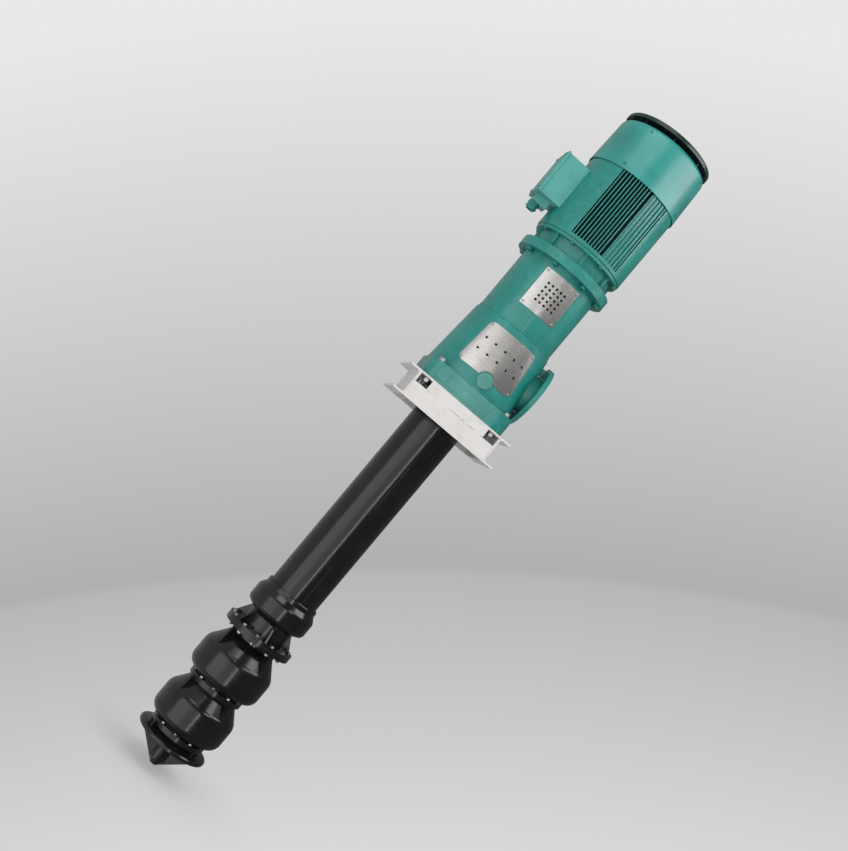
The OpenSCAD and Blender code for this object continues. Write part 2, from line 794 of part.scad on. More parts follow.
module motor_flange_bolts() {
    color(teal) at_motor_bolts() {
        translate([0, 0, flange_top_z]) bolt(motor_bolt_d, 2 * motor_flange_t + motor_bolt_d);
        translate([0, 0, motor_z - motor_flange_t]) mirror([0, 0, 1]) nut(motor_bolt_d);
    }
}

module sector_pads() {
    left_x = (fin_count - 1) * fin_pitch * 0.77 + 8;
    right_x = 142;
    intersection() {
        cylinder(r = fin_r, h = motor_frame_h);
        union() {
            translate([-fin_r - over, -fin_r, 0]) cube([fin_r + over - left_x, 2 * fin_r, motor_frame_h]);
            translate([right_x, -fin_r, 0]) cube([fin_r + over - right_x, 2 * fin_r, motor_frame_h]);
        }
    }
}

module fins() {
    first_x = -(fin_count - 1) * fin_pitch * 0.77;
    bed_x = first_x + fin_count * fin_pitch + 4;
    intersection() {
        cylinder(r = fin_r, h = motor_frame_h);
        both_sides() {
            for (i = [0 : fin_count - 1]) translate([first_x + i * fin_pitch - fin_t / 2, -fin_r, 0])
                cube([fin_t, fin_r - frame_tube_r * 0.75, motor_frame_h]);
            for (i = [0 : rib_count - 1]) translate([bed_x + 9 + i * rib_pitch, -fin_r, 0])
                cube([fin_t, fin_r - frame_tube_r * 0.6, motor_frame_h]);
        }
    }
    // The shallow fins stand on a raised bed
    intersection() {
        cylinder(r = fin_r - 6, h = motor_frame_h);
        both_sides() translate([bed_x, -fin_r, 0]) cube([145 - bed_x, fin_r - 100, motor_frame_h]);
    }
}

module motor_frame() {
    color(teal) translate([0, 0, frame_z]) difference() {
        union() {
            cylinder(r = frame_tube_r, h = motor_frame_h);
            cylinder(r = fin_r, h = rim_t);
            sector_pads();
            fins();
        }
        translate([0, 0, -over]) cylinder(r = stator_r, h = motor_frame_h + 2 * over);
        translate([0, 0, -over]) around(shield_bolts, shield_bolt_r, 180 / shield_bolts)
            cylinder(d = shield_bolt_d, h = rim_t);
        translate([0, 0, motor_frame_h - 24]) around(4, rear_bolt_r, 45)
            cylinder(d = rear_bolt_d + 4 * seat, h = 30);
        // Cable way from the terminal box to the winding
        translate([-fin_r - 20, 0, cable_way_z - frame_z]) rotate([0, 90, 0])
            cylinder(r = cable_way_r + 2, h = fin_r - stator_r + 40);
    }
}

module endshield_bolts() {
    color(steel) {
        translate([0, 0, frame_z - rim_t]) mirror([0, 0, 1])
            around(shield_bolts, shield_bolt_r, 180 / shield_bolts)
            bolt(shield_bolt_d, rim_t + shield_bolt_d - over);
        translate([0, 0, frame_end_z + rear_shield_t]) around(4, rear_bolt_r, 45)
            bolt(rear_bolt_d, 4 * rear_bolt_d);
    }
}

module stator_core() {
    slots = 36;
    color("#6d7073") translate([0, 0, stack_z]) difference() {
        cylinder(r = stator_r - seat / 2, h = stack_h);
        translate([0, 0, -over]) cylinder(r = stator_bore_r, h = stack_h + 2 * over);
        translate([0, 0, -over]) around(slots, stator_bore_r - 2, 0) translate([0, -4, 0])
            cube([30, 8, stack_h + 2 * over]);
    }
}

module stator_windings() {
    color(copper) for (z = [stack_z - 36, stack_z + stack_h + seat]) translate([0, 0, z])
        rotate_extrude() translate([stator_bore_r + 24, 18]) {
            circle(17.8);
            translate([-9, -17.9]) square([18, 35.8]);
        }
}

module rear_endshield() {
    b = rear_bearing;
    color(teal) difference() {
        union() {
            translate([0, 0, frame_end_z]) cylinder(r = 200, h = rear_shield_t);
            translate([0, 0, frame_end_z - 14]) cylinder(r = stator_r - seat, h = rear_shield_t);
            translate([0, 0, rear_bearing_z - 6]) cylinder(r = b[0] + 14, h = b[2] + 16);
            intersection() {
                for (a = [0 : 3]) rotate([0, 0, cowl_screw_first + 90 * a]) translate([190, -12, frame_end_z])
                    cube([40, 24, rear_shield_t]);
                cylinder(r = cowl_r(frame_end_z + rear_shield_t) - cowl_t - seat, h = 2 * frame_end_z);
            }
        }
        translate([0, 0, rear_bearing_z]) cylinder(r = b[0] + seat / 2, h = 60);
        translate([0, 0, rear_bearing_z - 60]) cylinder(r = b[1] + 12, h = 100);
        translate([0, 0, frame_end_z - 20]) difference() {
            cylinder(r = 148, h = 20);
            cylinder(r = b[0] + 14, h = 20);
        }
        translate([0, 0, frame_end_z - over]) around(4, rear_bolt_r, 45)
            cylinder(d = rear_bolt_d + 2 * bolt_gap, h = rear_shield_t + 2 * over);
        at_cowl_screws() translate([0, 0, -22]) cylinder(d = cowl_screw_d, h = 30);
    }
}

module bearing_groove(b) {
    translate([0, 0, b[2] / 2]) rotate_extrude() translate([ball_track(b), 0]) circle(b[3] + seat);
}

module bearing_outer_races() {
    color("silver") for (b = [[drive_bearing, drive_bearing_z], [rear_bearing, rear_bearing_z]])
        translate([0, 0, b[1]]) difference() {
            ring(b[0][0], ball_track(b[0]) + 5, b[0][2]);
            bearing_groove(b[0]);
        }
}

module bearing_inner_races() {
    color("silver") for (b = [[drive_bearing, drive_bearing_z], [rear_bearing, rear_bearing_z]])
        translate([0, 0, b[1]]) difference() {
            ring(ball_track(b[0]) - 5, b[0][1] + seat / 4, b[0][2]);
            bearing_groove(b[0]);
        }
}

// Balls and their cages: they go round at their own, slower speed
module bearing_balls() {
    balls = 8;
    color("gold") for (b = [[drive_bearing, drive_bearing_z], [rear_bearing, rear_bearing_z]])
        translate([0, 0, b[1] + b[0][2] / 2]) {
            around(balls, ball_track(b[0]), 0) sphere(b[0][3]);
            difference() {
                translate([0, 0, -b[0][3] - 3])
                    ring(ball_track(b[0]) + 3, ball_track(b[0]) - 3, 2 * b[0][3] + 6);
                around(balls, ball_track(b[0]), 0) rotate([0, 90, 0])
                    cylinder(r = b[0][3] + seat, h = 20, center = true);
            }
        }
}

module motor_shaft() {
    shaft_low = motor_z - motor_shaft_len;
    color("silver") {
        translate([0, 0, shaft_low]) cylinder(r = motor_shaft_r, h = motor_shaft_len + 6);
        translate([0, 0, motor_z + 5]) cylinder(r = drive_bearing[1], h = drive_bearing[2] + 40);
        translate([0, 0, drive_bearing_z + drive_bearing[2]])
            cylinder(r = 40, h = rear_bearing_z - drive_bearing_z - drive_bearing[2]);
        translate([0, 0, rear_bearing_z - over]) cylinder(r = rear_bearing[1], h = rear_bearing[2] + 20);
        translate([0, 0, rear_bearing_z + rear_bearing[2] + 18]) cylinder(r = 24, h = 86);
    }
}

module rotor_core() {
    color("#8a8d90") translate([0, 0, stack_z]) {
        ring(stator_bore_r - air_gap, 40 + seat / 4, stack_h);
        // Cast end rings with their cooling paddles
        for (z = [-16, stack_h]) translate([0, 0, z]) ring(stator_bore_r - 10, 74, 16);
    }
}

module cooling_fan() {
    fan_z = frame_end_z + 52;
    color(black) translate([0, 0, fan_z]) difference() {
        union() {
            cylinder(r = 46, h = 44);
            cylinder(r = fan_r - 14, h = 5);
            for (i = [0 : fan_blades - 1]) rotate([0, 0, i * 360 / fan_blades]) translate([40, -2.5, 0])
                cube([fan_r - 40, 5, 62]);
        }
        translate([0, 0, -over]) cylinder(r = 24 + seat / 4, h = 80);
        translate([0, 0, 44]) cylinder(r = 60, h = 30);
    }
}

// Outer radius of the cowl's slightly tapered wall at a height
function cowl_r(z) = cowl_low_r
    + (cowl_top_r - cowl_low_r) * (z - frame_end_z + cowl_overlap) / (cowl_h + cowl_overlap - cowl_edge_r);

function arc(x, y, r, from, to, steps) =
    [for (i = [0 : steps]) [x + r * cos(from + (to - from) * i / steps),
        y + r * sin(from + (to - from) * i / steps)]];

cowl_screw_first = front - 33;
cowl_screw_d = 6;
cowl_overlap = 12;
cowl_edge_r = 20;
intake_r = 140;
canopy_t = 13;
canopy_edge_r = 8;
canopy_lip = 6;
first_leg = front + 37;

module cowl_solid(inset) {
    low = frame_end_z - cowl_overlap - (inset > 0 ? over : 0);
    rotate_extrude() polygon(concat(
        [[0, low], [cowl_low_r - inset, low]],
        arc(cowl_top_r - cowl_edge_r, cowl_top_z - cowl_edge_r, cowl_edge_r - inset, 0, 90, 8),
        [[0, cowl_top_z - inset]]));
}

module fan_cowl() {
    color(teal) {
        difference() {
            cowl_solid(0);
            cowl_solid(cowl_t);
            translate([0, 0, cowl_top_z - 10]) cylinder(r = intake_r, h = 20);
            at_cowl_screws() translate([0, 0, -8]) cylinder(d = cowl_screw_d + 6 * seat, h = 16);
        }
        // Air intake grille
        translate([0, 0, cowl_top_z - 4]) {
            for (r = [30 : 22 : intake_r]) ring(r + 4, r, 4);
            for (i = [0 : 7]) rotate([0, 0, i * 45]) translate([20, -3, 0]) cube([intake_r - 16, 6, 4]);
        }
    }
}

module at_cowl_screws() {
    around(4, cowl_low_r - 0.9, cowl_screw_first) translate([0, 0, frame_end_z + rear_shield_t / 2])
        rotate([0, 90, 0]) children();
}

module cowl_screws() {
    color(steel) {
        at_cowl_screws() {
            translate([0, 0, over]) cylinder(r = cowl_screw_d, h = cowl_screw_d / 2);
            translate([0, 0, -14]) cylinder(r = cowl_screw_d / 2 - seat, h = 16);
        }
        around(4, cowl_top_r + 6 * seat, cowl_screw_first) translate([0, 0, cowl_top_z - 24])
            rotate([0, 90, 0]) cylinder(r = cowl_screw_d - over, h = cowl_screw_d / 2);
    }
}

module rain_canopy() {
    canopy_z = cowl_top_z + canopy_gap;
    color("#123f3c") {
        translate([0, 0, canopy_z]) rotate_extrude() polygon(concat(
            [[0, 0], [canopy_r - 4, 0], [canopy_r - 4, -canopy_lip], [canopy_r, -canopy_lip]],
            arc(canopy_r - canopy_edge_r,
            canopy_t - canopy_edge_r, canopy_edge_r, 0, 90, 5), [[0, canopy_t]]));
        around(8, canopy_r - 26, first_leg) translate([-9, -2, cowl_top_z + seat]) cube([18, 4, canopy_gap]);
    }
}

// Terminal box on the motor's left side
box_z = frame_z + 180;
gland_x = -286;
gland_pad_w = 72;
gland_pad_h = 34;
lid_screw_d = 6;
lid_boss_r = 11;

module terminal_box() {
    back_x = -fin_r + 18;
    lid_x = -box_reach + lid_t;
    color(teal) difference() {
        union() {
            translate([lid_x, -box_w / 2, box_z - box_h / 2]) cube([back_x - lid_x, box_w, box_h]);
            translate([lid_x + over, -gland_pad_w / 2, box_z - box_h / 2 - gland_pad_h])
                cube([gland_pad_w, gland_pad_w, gland_pad_h + 6]);
        }
        difference() {
            translate([lid_x - over, -box_w / 2 + box_wall, box_z - box_h / 2 + box_wall])
                cube([-fin_r - 8 - lid_x, box_w - 2 * box_wall, box_h - 2 * box_wall]);
            at_lid_screws() translate([0, 0, -box_reach]) cylinder(r = lid_boss_r, h = box_reach);
        }
        at_lid_screws() translate([0, 0, -lid_t - 20]) cylinder(d = lid_screw_d + 2 * seat, h = 20 + over);
        translate([0, 0, frame_z]) cylinder(r = fin_r + seat, h = motor_frame_h);
        translate([-fin_r - 40, 0, cable_way_z]) rotate([0, 90, 0]) cylinder(r = cable_way_r, h = 60);
        translate([gland_x, 0, box_z - box_h / 2 - gland_pad_h - over])
            cylinder(d = gland_bore_d + 8, h = gland_pad_h + box_wall + 2 * over);
    }
}

module at_lid_screws() {
    inset = box_wall + lid_boss_r - 4;
    for (y = [-1, 1], z = [-1, 1])
        translate([-box_reach, y * (box_w / 2 - inset), box_z + z * (box_h / 2 - inset)])
        rotate([0, -90, 0]) children();
}

module terminal_box_lid() {
    color(teal) difference() {
        translate([-box_reach + lid_t, 0, box_z]) rotate([0, -90, 0]) {
            linear_extrude(lid_t - 4) round_rect(box_h + 12, box_w + 12, 12);
            linear_extrude(lid_t) round_rect(box_h, box_w, 12);
        }
        at_lid_screws() translate([0, 0, -lid_t - over]) cylinder(d = lid_screw_d + 1, h = lid_t + 2 * over);
    }
}

module lid_screws() {
    color(steel) at_lid_screws() {
        translate([0, 0, seat]) cylinder(d = 1.8 * lid_screw_d, h = 3.5);
        translate([0, 0, -lid_t - 18]) cylinder(d = lid_screw_d, h = lid_t + 18 + over);
    }
}

module cable_gland() {
    low = box_z - box_h / 2 - gland_pad_h;
    color("#9aa5a3") translate([gland_x, 0, low]) mirror([0, 0, 1]) difference() {
        union() {
            translate([0, 0, -18]) cylinder(d = gland_bore_d + 8 - seat, h = 19);
            hexagon(gland_bore_d + 14, 12);
            translate([0, 0, 12]) cylinder(d = gland_bore_d + 10, h = 6);
            translate([0, 0, 18]) hexagon(gland_bore_d + 12, 10);
            translate([0, 0, 28]) cylinder(d1 = gland_bore_d + 12, d2 = gland_bore_d + 6, h = 6);
        }
        translate([0, 0, -20]) cylinder(d = gland_bore_d, h = 70);
    }
}

module terminal_block() {
    x = -fin_r - 8 - over;
    color("#3a3a38") translate([x - 16, -35, box_z - 62]) cube([16 - seat, 70, 60]);
    color("gold") for (y = [-22, 0, 22], z = [-48, -16]) translate([x - 16 + over, y, box_z + z])
        rotate([0, -90, 0]) cylinder(r = 3, h = 14);
}

// Coupling between motor shaft and pump shaft, with the nut that sets the impellers' height
coupling_z = motor_z - motor_shaft_len - 2;
half_t = 18;
adjuster_h = 24;
coupling_bolt_d = 12;
coupling_bolt_r = coupling_r - 14;
motor_hub_r = 52;
motor_hub_h = 92;
pump_hub_r = 44;
pump_hub_h = 70;

module at_coupling_bolts() {
    around(8, coupling_bolt_r, 0) children();
}

module coupling_motor_half() {
    color("#70767a") difference() {
        union() {
            translate([0, 0, coupling_z]) cylinder(r = coupling_r, h = half_t);
            translate([0, 0, coupling_z]) cylinder(r = motor_hub_r, h = motor_hub_h);
        }
        translate([0, 0, coupling_z - over])
            cylinder(r = motor_shaft_r + seat / 4, h = motor_hub_h + 2 * over);
        translate([0, 0, coupling_z - over]) at_coupling_bolts()
            cylinder(d = coupling_bolt_d + 2 * bolt_gap, h = half_t + 2 * over);
    }
}

module coupling_adjusting_nut() {
    color(bronze) translate([0, 0, coupling_z - adjuster_h]) difference() {
        cylinder(r = coupling_bolt_r - 8, h = adjuster_h);
        translate([0, 0, -over]) cylinder(r = shaft_r + seat / 4, h = adjuster_h + 2 * over);
        // Holes for the tommy bar that turns the nut
        translate([0, 0, adjuster_h / 2]) around(6, coupling_bolt_r - 22, 30) rotate([0, 90, 0])
            cylinder(r = 5, h = 30);
    }
}

module coupling_pump_half() {
    color("#70767a") difference() {
        union() {
            translate([0, 0, coupling_z - adjuster_h - half_t]) cylinder(r = coupling_r, h = half_t);
            translate([0, 0, coupling_z - adjuster_h - half_t - pump_hub_h])
                cylinder(r = pump_hub_r, h = pump_hub_h + over);
        }
        translate([0, 0, coupling_z - adjuster_h - half_t - pump_hub_h - over])
            cylinder(r = shaft_r + seat / 4, h = half_t + pump_hub_h + 2 * over);
        translate([0, 0, coupling_z - adjuster_h - half_t - over]) at_coupling_bolts()
            cylinder(d = coupling_bolt_d + 2 * bolt_gap, h = half_t + 2 * over);
    }
}

module coupling_bolts() {
    grip = 2 * half_t + adjuster_h;
    color(steel) at_coupling_bolts() {
        translate([0, 0, coupling_z + half_t]) bolt(coupling_bolt_d, grip + coupling_bolt_d + 2);
        translate([0, 0, coupling_z - adjuster_h - half_t]) mirror([0, 0, 1]) nut(coupling_bolt_d);
    }
}

// Pump shafts
shaft_joint_z = -330;
shaft_end_z = hub_end_z + 34;

module head_shaft() {
    color("silver") translate([0, 0, shaft_joint_z])
        cylinder(r = shaft_r, h = coupling_z - 4 - shaft_joint_z);
}

module bowl_shaft() {
    color("silver") translate([0, 0, shaft_end_z])
        cylinder(r = shaft_r, h = shaft_joint_z - shaft_end_z - seat);
}

module shaft_coupling() {
    color(steel) translate([0, 0, shaft_joint_z - 60]) ring(shaft_r + 10, shaft_r + seat / 4, 120);
}

// Column
module column_pipe() {
    color(black) difference() {
        union() {
            translate([0, 0, -column_drop]) cylinder(r = column_r, h = column_drop + head_z);
            translate([0, 0, head_z - column_flange_t]) cylinder(r = column_flange_r, h = column_flange_t);
        }
        translate([0, 0, -column_drop - over])
            cylinder(r = column_r - column_wall, h = column_drop + head_z + 2 * over);
        translate([0, 0, head_z - column_flange_t - over]) around(8, column_bolt_r, 22.5)
            cylinder(d = column_bolt_d + 2 * bolt_gap, h = column_flange_t + 2 * over);
    }
}

module column_bolts() {
    color(steel) translate([0, 0, head_z - column_flange_t]) mirror([0, 0, 1]) around(8, column_bolt_r, 22.5)
        bolt(column_bolt_d, column_flange_t + head_floor_t - 6);
}

// Bowl assembly. A profile is drawn as radius and height, and turned round the axis
module plates(count, first, thickness) {
    for (i = [0 : count - 1]) rotate([0, 0, front + bowl_turn + first + i * 360 / count])
        translate([0, thickness / 2, 0]) rotate([90, 0, 0]) linear_extrude(thickness) children();
}

case_shoulder_z = socket_top_z - 36;
case_belly_z = socket_top_z - 108;
case_neck_z = socket_top_z - 140;
case_drum_r = 146;
case_wall = 12;
case_mouth_r = 80;
case_web_t = 10;
neck_r = 106;
hub_r = bush_r + 8;
case_rib_t = 8;

// Outer form of the case: a collar round the pipe, a shoulder, a short drum and a cone to the neck
module case_outside() {
    polygon([[0, socket_top_z], [column_r + 8, socket_top_z], [column_r + 10, socket_top_z - 3],
        [column_r + 11, case_shoulder_z + 12],
        [case_drum_r - 4, case_shoulder_z - 8], [case_drum_r, case_shoulder_z - 16],
        [case_drum_r, case_belly_z - 4],
        [case_drum_r - 6, case_belly_z - 16], [neck_r + 4, case_neck_z], [neck_r, case_neck_z - 8],
        [neck_r, big_joint_z], [0, big_joint_z]]);
    translate([0, big_joint_z]) square([big_flange_r, big_flange_t]);
}

module case_inside() {
    bore_r = column_r - column_wall;
    translate([0, socket_top_z - socket_h]) square([column_r + seat, socket_h + over]);
    polygon([[0, socket_top_z - socket_h + over], [bore_r, socket_top_z - socket_h + over],
        [case_drum_r - case_wall, case_belly_z + 18], [case_drum_r - case_wall, case_belly_z],
        [neck_r - case_wall, case_neck_z - 8], [case_mouth_r, big_joint_z + 20],
        [case_mouth_r, big_joint_z - over], [0, big_joint_z - over]]);
}

module discharge_case() {
    rib_foot = big_joint_z + big_flange_t - over;
    color(black) {
        difference() {
            union() {
                rotate_extrude() case_outside();
                plates(6, 15, case_rib_t) polygon([[90, case_neck_z + 2], [neck_r + 3, case_neck_z],
                    [big_flange_r - 8, rib_foot], [90, rib_foot]]);
            }
            rotate_extrude() case_inside();
            big_bolt_holes();
        }
        difference() {
            union() {
                translate([0, 0, big_joint_z + 14]) cylinder(r = hub_r, h = 150);
                plates(4, 0, case_web_t)
                    polygon([[bush_r + 2, case_belly_z + 6], [case_drum_r - 6, case_belly_z + 6],
                    [case_drum_r - 6, case_belly_z],
                    [neck_r - 4, case_neck_z - 6], [case_mouth_r + 4, big_joint_z + 22],
                    [bush_r + 2, big_joint_z + 22]]);
            }
            translate([0, 0, big_joint_z]) cylinder(r = bush_r, h = 200);
        }
    }
}

big_bolt_d = 12;
lip_screw_d = 11;

module at_big_bolts() {
    around(12, big_bolt_r, front + bowl_turn) children();
}

module big_bolt_holes() {
    translate([0, 0, big_joint_z - big_flange_t - over]) at_big_bolts()
        cylinder(d = big_bolt_d + 2 * bolt_gap, h = 2 * big_flange_t + 2 * over);
}

module flange_bolts() {
    color(steel) at_big_bolts() {
        translate([0, 0, big_joint_z + big_flange_t]) bolt(big_bolt_d, 2 * big_flange_t + big_bolt_d + over);
        translate([0, 0, big_joint_z - big_flange_t]) mirror([0, 0, 1]) nut(big_bolt_d);
    }
}

wall = 10;
lip_t = 10;
ring_seat_r = 84;
ring_seat_h = 16;
skirt_r = ring_seat_r - 8;
eye_r = skirt_r + 2;
notch_w = 22;
notch_h = 12;
spot_depth = 0.5;
screw_depth = 11;
vane_hub_r = 92;
top_lip_t = 12;
bowl_rib_t = 8;
rib_r = 150;

// Outer and inner forms of a bowl whose joint above is at z = 0: a cone, a round shoulder, a drum and
// a tighter corner above the lip
shoulder_arc_r = 60;
shoulder_arc_z = -115;
corner_arc_r = 45;
corner_arc_z = lip_t + corner_arc_r + 9 - bowl_h;

module bowl_outside() {
    translate([0, lip_t - bowl_h]) square([lip_screw_r - 12, 20]);
    translate([0, -bowl_h]) square([lip_r, lip_t]);
    polygon(concat([[0, 0], [neck_r - 2, 0]],
        arc(bowl_r - shoulder_arc_r, shoulder_arc_z, shoulder_arc_r, 44, 0, 7),
        arc(bowl_r - corner_arc_r, corner_arc_z, corner_arc_r, 0, -90, 10),
        [[0, corner_arc_z - corner_arc_r]]));
}

module bowl_inside() {
    throat_top = -bowl_h + 36;
    translate([0, -ring_seat_h]) square([ring_seat_r, ring_seat_h + neck_h + over]);
    polygon(concat([[0, over - ring_seat_h], [eye_r, over - ring_seat_h], [eye_r, -20], [neck_r + 12, -40]],
        arc(bowl_r - shoulder_arc_r, shoulder_arc_z, shoulder_arc_r - wall, 44, 0, 4),
        arc(bowl_r - corner_arc_r, corner_arc_z, corner_arc_r - wall, 0, -40, 3),
        [[throat_r + 10, throat_top], [throat_r, throat_top], [throat_r, -bowl_h - over],
        [0, -bowl_h - over]]));
}

// A vane that is swept back on a circle's arc: its plan is one half of a thin ring
module swept_vane(centre, r, h) {
    intersection() {
        translate([centre, 0, 0]) ring(r + vane_t / 2, r - vane_t / 2, h);
        translate([-2 * r, 0, 0]) cube([4 * r, 2 * r, h]);
    }
}

module guide_ring() {
    hub_top = -32;
    hub_low = 92 - bowl_h;
    intersection() {
        for (i = [0 : guide_vanes - 1]) rotate([0, 0, i * 360 / guide_vanes]) translate([0, 0, hub_low + 10])
            swept_vane(70, 95, hub_top - 13 - hub_low);
        rotate_extrude() polygon(concat([[bush_r + 4, -36], [neck_r + 8, -36]],
            arc(bowl_r - shoulder_arc_r, shoulder_arc_z, shoulder_arc_r - wall / 2, 44, 0, 4),
            [[bowl_r - wall / 2, hub_low + 10], [bush_r + 4, hub_low + 10]]));
    }
    rotate_extrude()
        polygon([[0, hub_top], [hub_r, hub_top], [vane_hub_r, hub_low + 15], [vane_hub_r, hub_low],
        [0, hub_low]]);
}

module bowl(first_lip) {
    difference() {
        union() {
            difference() {
                union() {
                    rotate_extrude() bowl_outside();
                    children();
                }
                rotate_extrude() bowl_inside();
            }
            guide_ring();
        }
        translate([0, 0, -bowl_h]) cylinder(r = bush_r, h = bowl_h + neck_h + over);
        lip_screw_holes(-bowl_h - over, lip_t + 2 * over, lip_screw_d / 2 + 2 * bolt_gap);
        // Notches that let a spanner reach the screws
        plates(lip_screws, 0, notch_w) translate([throat_r + 11, lip_t - spot_depth - bowl_h])
            square([bowl_r, notch_h]);
        if (first_lip) lip_screw_holes(-screw_depth, screw_depth + 2, lip_screw_d / 2 + bolt_gap);
    }
}

module lip_screw_holes(z, h, r) {
    translate([0, 0, z]) around(lip_screws, lip_screw_r, front + bowl_turn) cylinder(r = r, h = h);
}

module top_lip() {
    translate([0, 0, -top_lip_t]) cylinder(r = lip_r, h = top_lip_t);
    translate([0, 0, over - top_lip_t - 15]) cylinder(r1 = neck_r, r2 = lip_r - 2, h = 15);
}

module bowl_upper() {
    low = neck_h - big_flange_t;
    color(black) difference() {
        translate([0, 0, upper_bowl_z]) bowl(false) {
            translate([0, 0, -over]) cylinder(r = neck_r - 2, h = neck_h + over);
            translate([0, 0, low]) cylinder(r = big_flange_r, h = big_flange_t);
            plates(4, 45, bowl_rib_t)
                polygon([[90, low + over], [rib_r, low + over], [rib_r + 10, -76], [neck_r - 2, -20]]);
        }
        big_bolt_holes();
    }
}

module bowl_lower() {
    color(black) translate([0, 0, joint_1_z]) bowl(true) {
        top_lip();
        plates(4, 45, bowl_rib_t)
            polygon([[90, -over], [rib_r, -over], [rib_r + 10, -76], [neck_r - 2, -20]]);
    }
}

module bowl_screws() {
    color(steel) for (z = [joint_1_z, joint_2_z])
        translate([0, 0, z + lip_t - spot_depth]) around(lip_screws, lip_screw_r, front + bowl_turn)
            bolt(lip_screw_d, lip_t + screw_depth - 2);
}

module wear_rings() {
    color(bronze) for (z = [joint_1_z, joint_2_z]) translate([0, 0, z - ring_seat_h])
        ring(ring_seat_r - seat, skirt_r, ring_seat_h - seat);
}

module shaft_bushes() {
    hubs = [big_joint_z + 60, upper_bowl_z - 110, joint_1_z - 110, shaft_end_z + 16];
    color(bronze) for (z = hubs) translate([0, 0, z]) ring(bush_r - seat / 2, shaft_r + running_gap, 70);
}

// An impeller whose bowl joint is at z = 0: hub, shroud and the vanes between them
module impeller() {
    collet_r = shaft_r + 7;
    color(bronze) difference() {
        union() {
            rotate_extrude()
                polygon([[0, -10], [collet_r + 7, -10], [collet_r + 13, 20], [throat_r - 6, 82],
                [throat_r - 6, 88], [0, 88]]);
            rotate_extrude() polygon([[skirt_r - 5, -14], [skirt_r - wear_gap, -14], [skirt_r - wear_gap, 8],
                [throat_r - 2, 38], [throat_r - 2, 44], [throat_r - 5, 44], [skirt_r - 4, 14]]);
            intersection() {
                for (i = [0 : impeller_vanes - 1]) rotate([0, 0, i * 360 / impeller_vanes])
                    translate([0, 0, -6]) swept_vane(50, 60, 88);
                rotate_extrude()
                    polygon([[collet_r + 4, -6], [skirt_r - 3, -6], [skirt_r - 2, 12], [throat_r - 3, 41],
                    [throat_r - 7, 81], [collet_r + 10, 20]]);
            }
        }
        translate([0, 0, -20]) cylinder(r = collet_r, h = 120);
    }
}

module impeller_upper() {
    translate([0, 0, joint_1_z]) impeller();
}

module impeller_lower() {
    translate([0, 0, joint_2_z]) impeller();
}

module impeller_collets() {
    color(steel) for (z = [joint_1_z, joint_2_z]) translate([0, 0, z]) {
        translate([0, 0, -10.5]) ring(shaft_r + 7 - seat / 2, shaft_r + seat / 4, 98);
        translate([0, 0, -20]) ring(shaft_r + 11, shaft_r + seat / 4, 9.5);
    }
}

// The bell's flare is a shallow cone that ends in a thick rim
bell_rim_t = 20;
bell_wall = 9;
hub_tip_r = 18;
suction_hub_top = -31.2;

module bell_outside() {
    polygon([[0, 0], [neck_r - 2, 0], [neck_r + 2, -14], [bell_r - 5, bell_rim_t - bell_h],
        [bell_r, bell_rim_t - 5 - bell_h],
        [bell_r, 4 - bell_h], [bell_r - 4, -bell_h], [0, -bell_h]]);
}

module bell_inside() {
    polygon([[0, over], [ring_seat_r, over], [ring_seat_r, -ring_seat_h], [eye_r, -ring_seat_h], [eye_r, -20],
        [neck_r - 10, -24],
        [bell_r - bell_wall - 14, 12 - bell_h], [bell_r - bell_wall, -bell_h - over], [0, -bell_h - over]]);
}

module suction_bell() {
    tip_z = -bell_h - hub_drop;
    color(black) translate([0, 0, joint_2_z]) difference() {
        union() {
            difference() {
                union() {
                    rotate_extrude() bell_outside();
                    top_lip();
                    plates(4, 45, bowl_rib_t)
                        polygon([[96, -over], [rib_r, -over], [rib_r, bell_rim_t - 6 - bell_h],
                        [neck_r, -24]]);
                }
                rotate_extrude() bell_inside();
            }
            // Ribs that carry the suction hub below the mouth
            plates(4, 0, bell_wall)
                polygon([[bush_r + 2, suction_hub_top - 2], [84, -26], [neck_r - 4, -26],
                [bell_r - bell_wall - 8, 10 - bell_h],
                [bell_r - 14, -bell_h], [hub_tip_r - 2, over + tip_z], [hub_tip_r - 8, over + tip_z]]);
            rotate_extrude()
                polygon([[0, suction_hub_top], [hub_r, suction_hub_top], [hub_r, 26 + tip_z],
                [hub_tip_r, tip_z], [0, tip_z]]);
        }
        translate([0, 0, tip_z + 20]) cylinder(r = bush_r, h = bell_h + hub_drop);
        lip_screw_holes(-screw_depth, screw_depth + 2, lip_screw_d / 2 + bolt_gap);
    }
}

module sand_collar() {
    color(bronze) translate([0, 0, joint_2_z + suction_hub_top + 2 * seat])
        ring(hub_r, shaft_r + seat / 4, 8);
}

base_channel_left();
base_channel_right();
cross_member_front();
cross_member_rear();
discharge_head();
head_bolts();
stuffing_box();
packing_rings();
gland_follower();
gland_studs();
gland_nuts();
motor_stool();
stool_bolts();
guard_lower_front();
guard_lower_rear();
guard_upper_front();
guard_upper_rear();
guard_screws();
drive_endshield();
motor_flange_bolts();
motor_frame();
endshield_bolts();
stator_core();
stator_windings();
rear_endshield();
bearing_outer_races();
bearing_balls();
bearing_inner_races();
motor_shaft();
rotor_core();
cooling_fan();
fan_cowl();
cowl_screws();
rain_canopy();
terminal_box();
terminal_box_lid();
lid_screws();
cable_gland();
terminal_block();
coupling_motor_half();
coupling_adjusting_nut();
coupling_pump_half();
coupling_bolts();
head_shaft();
shaft_coupling();
bowl_shaft();
column_pipe();
column_bolts();
discharge_case();
shaft_bushes();
flange_bolts();
bowl_upper();
bowl_lower();
bowl_screws();
wear_rings();
impeller_upper();
impeller_lower();
impeller_collets();
suction_bell();
sand_collar();
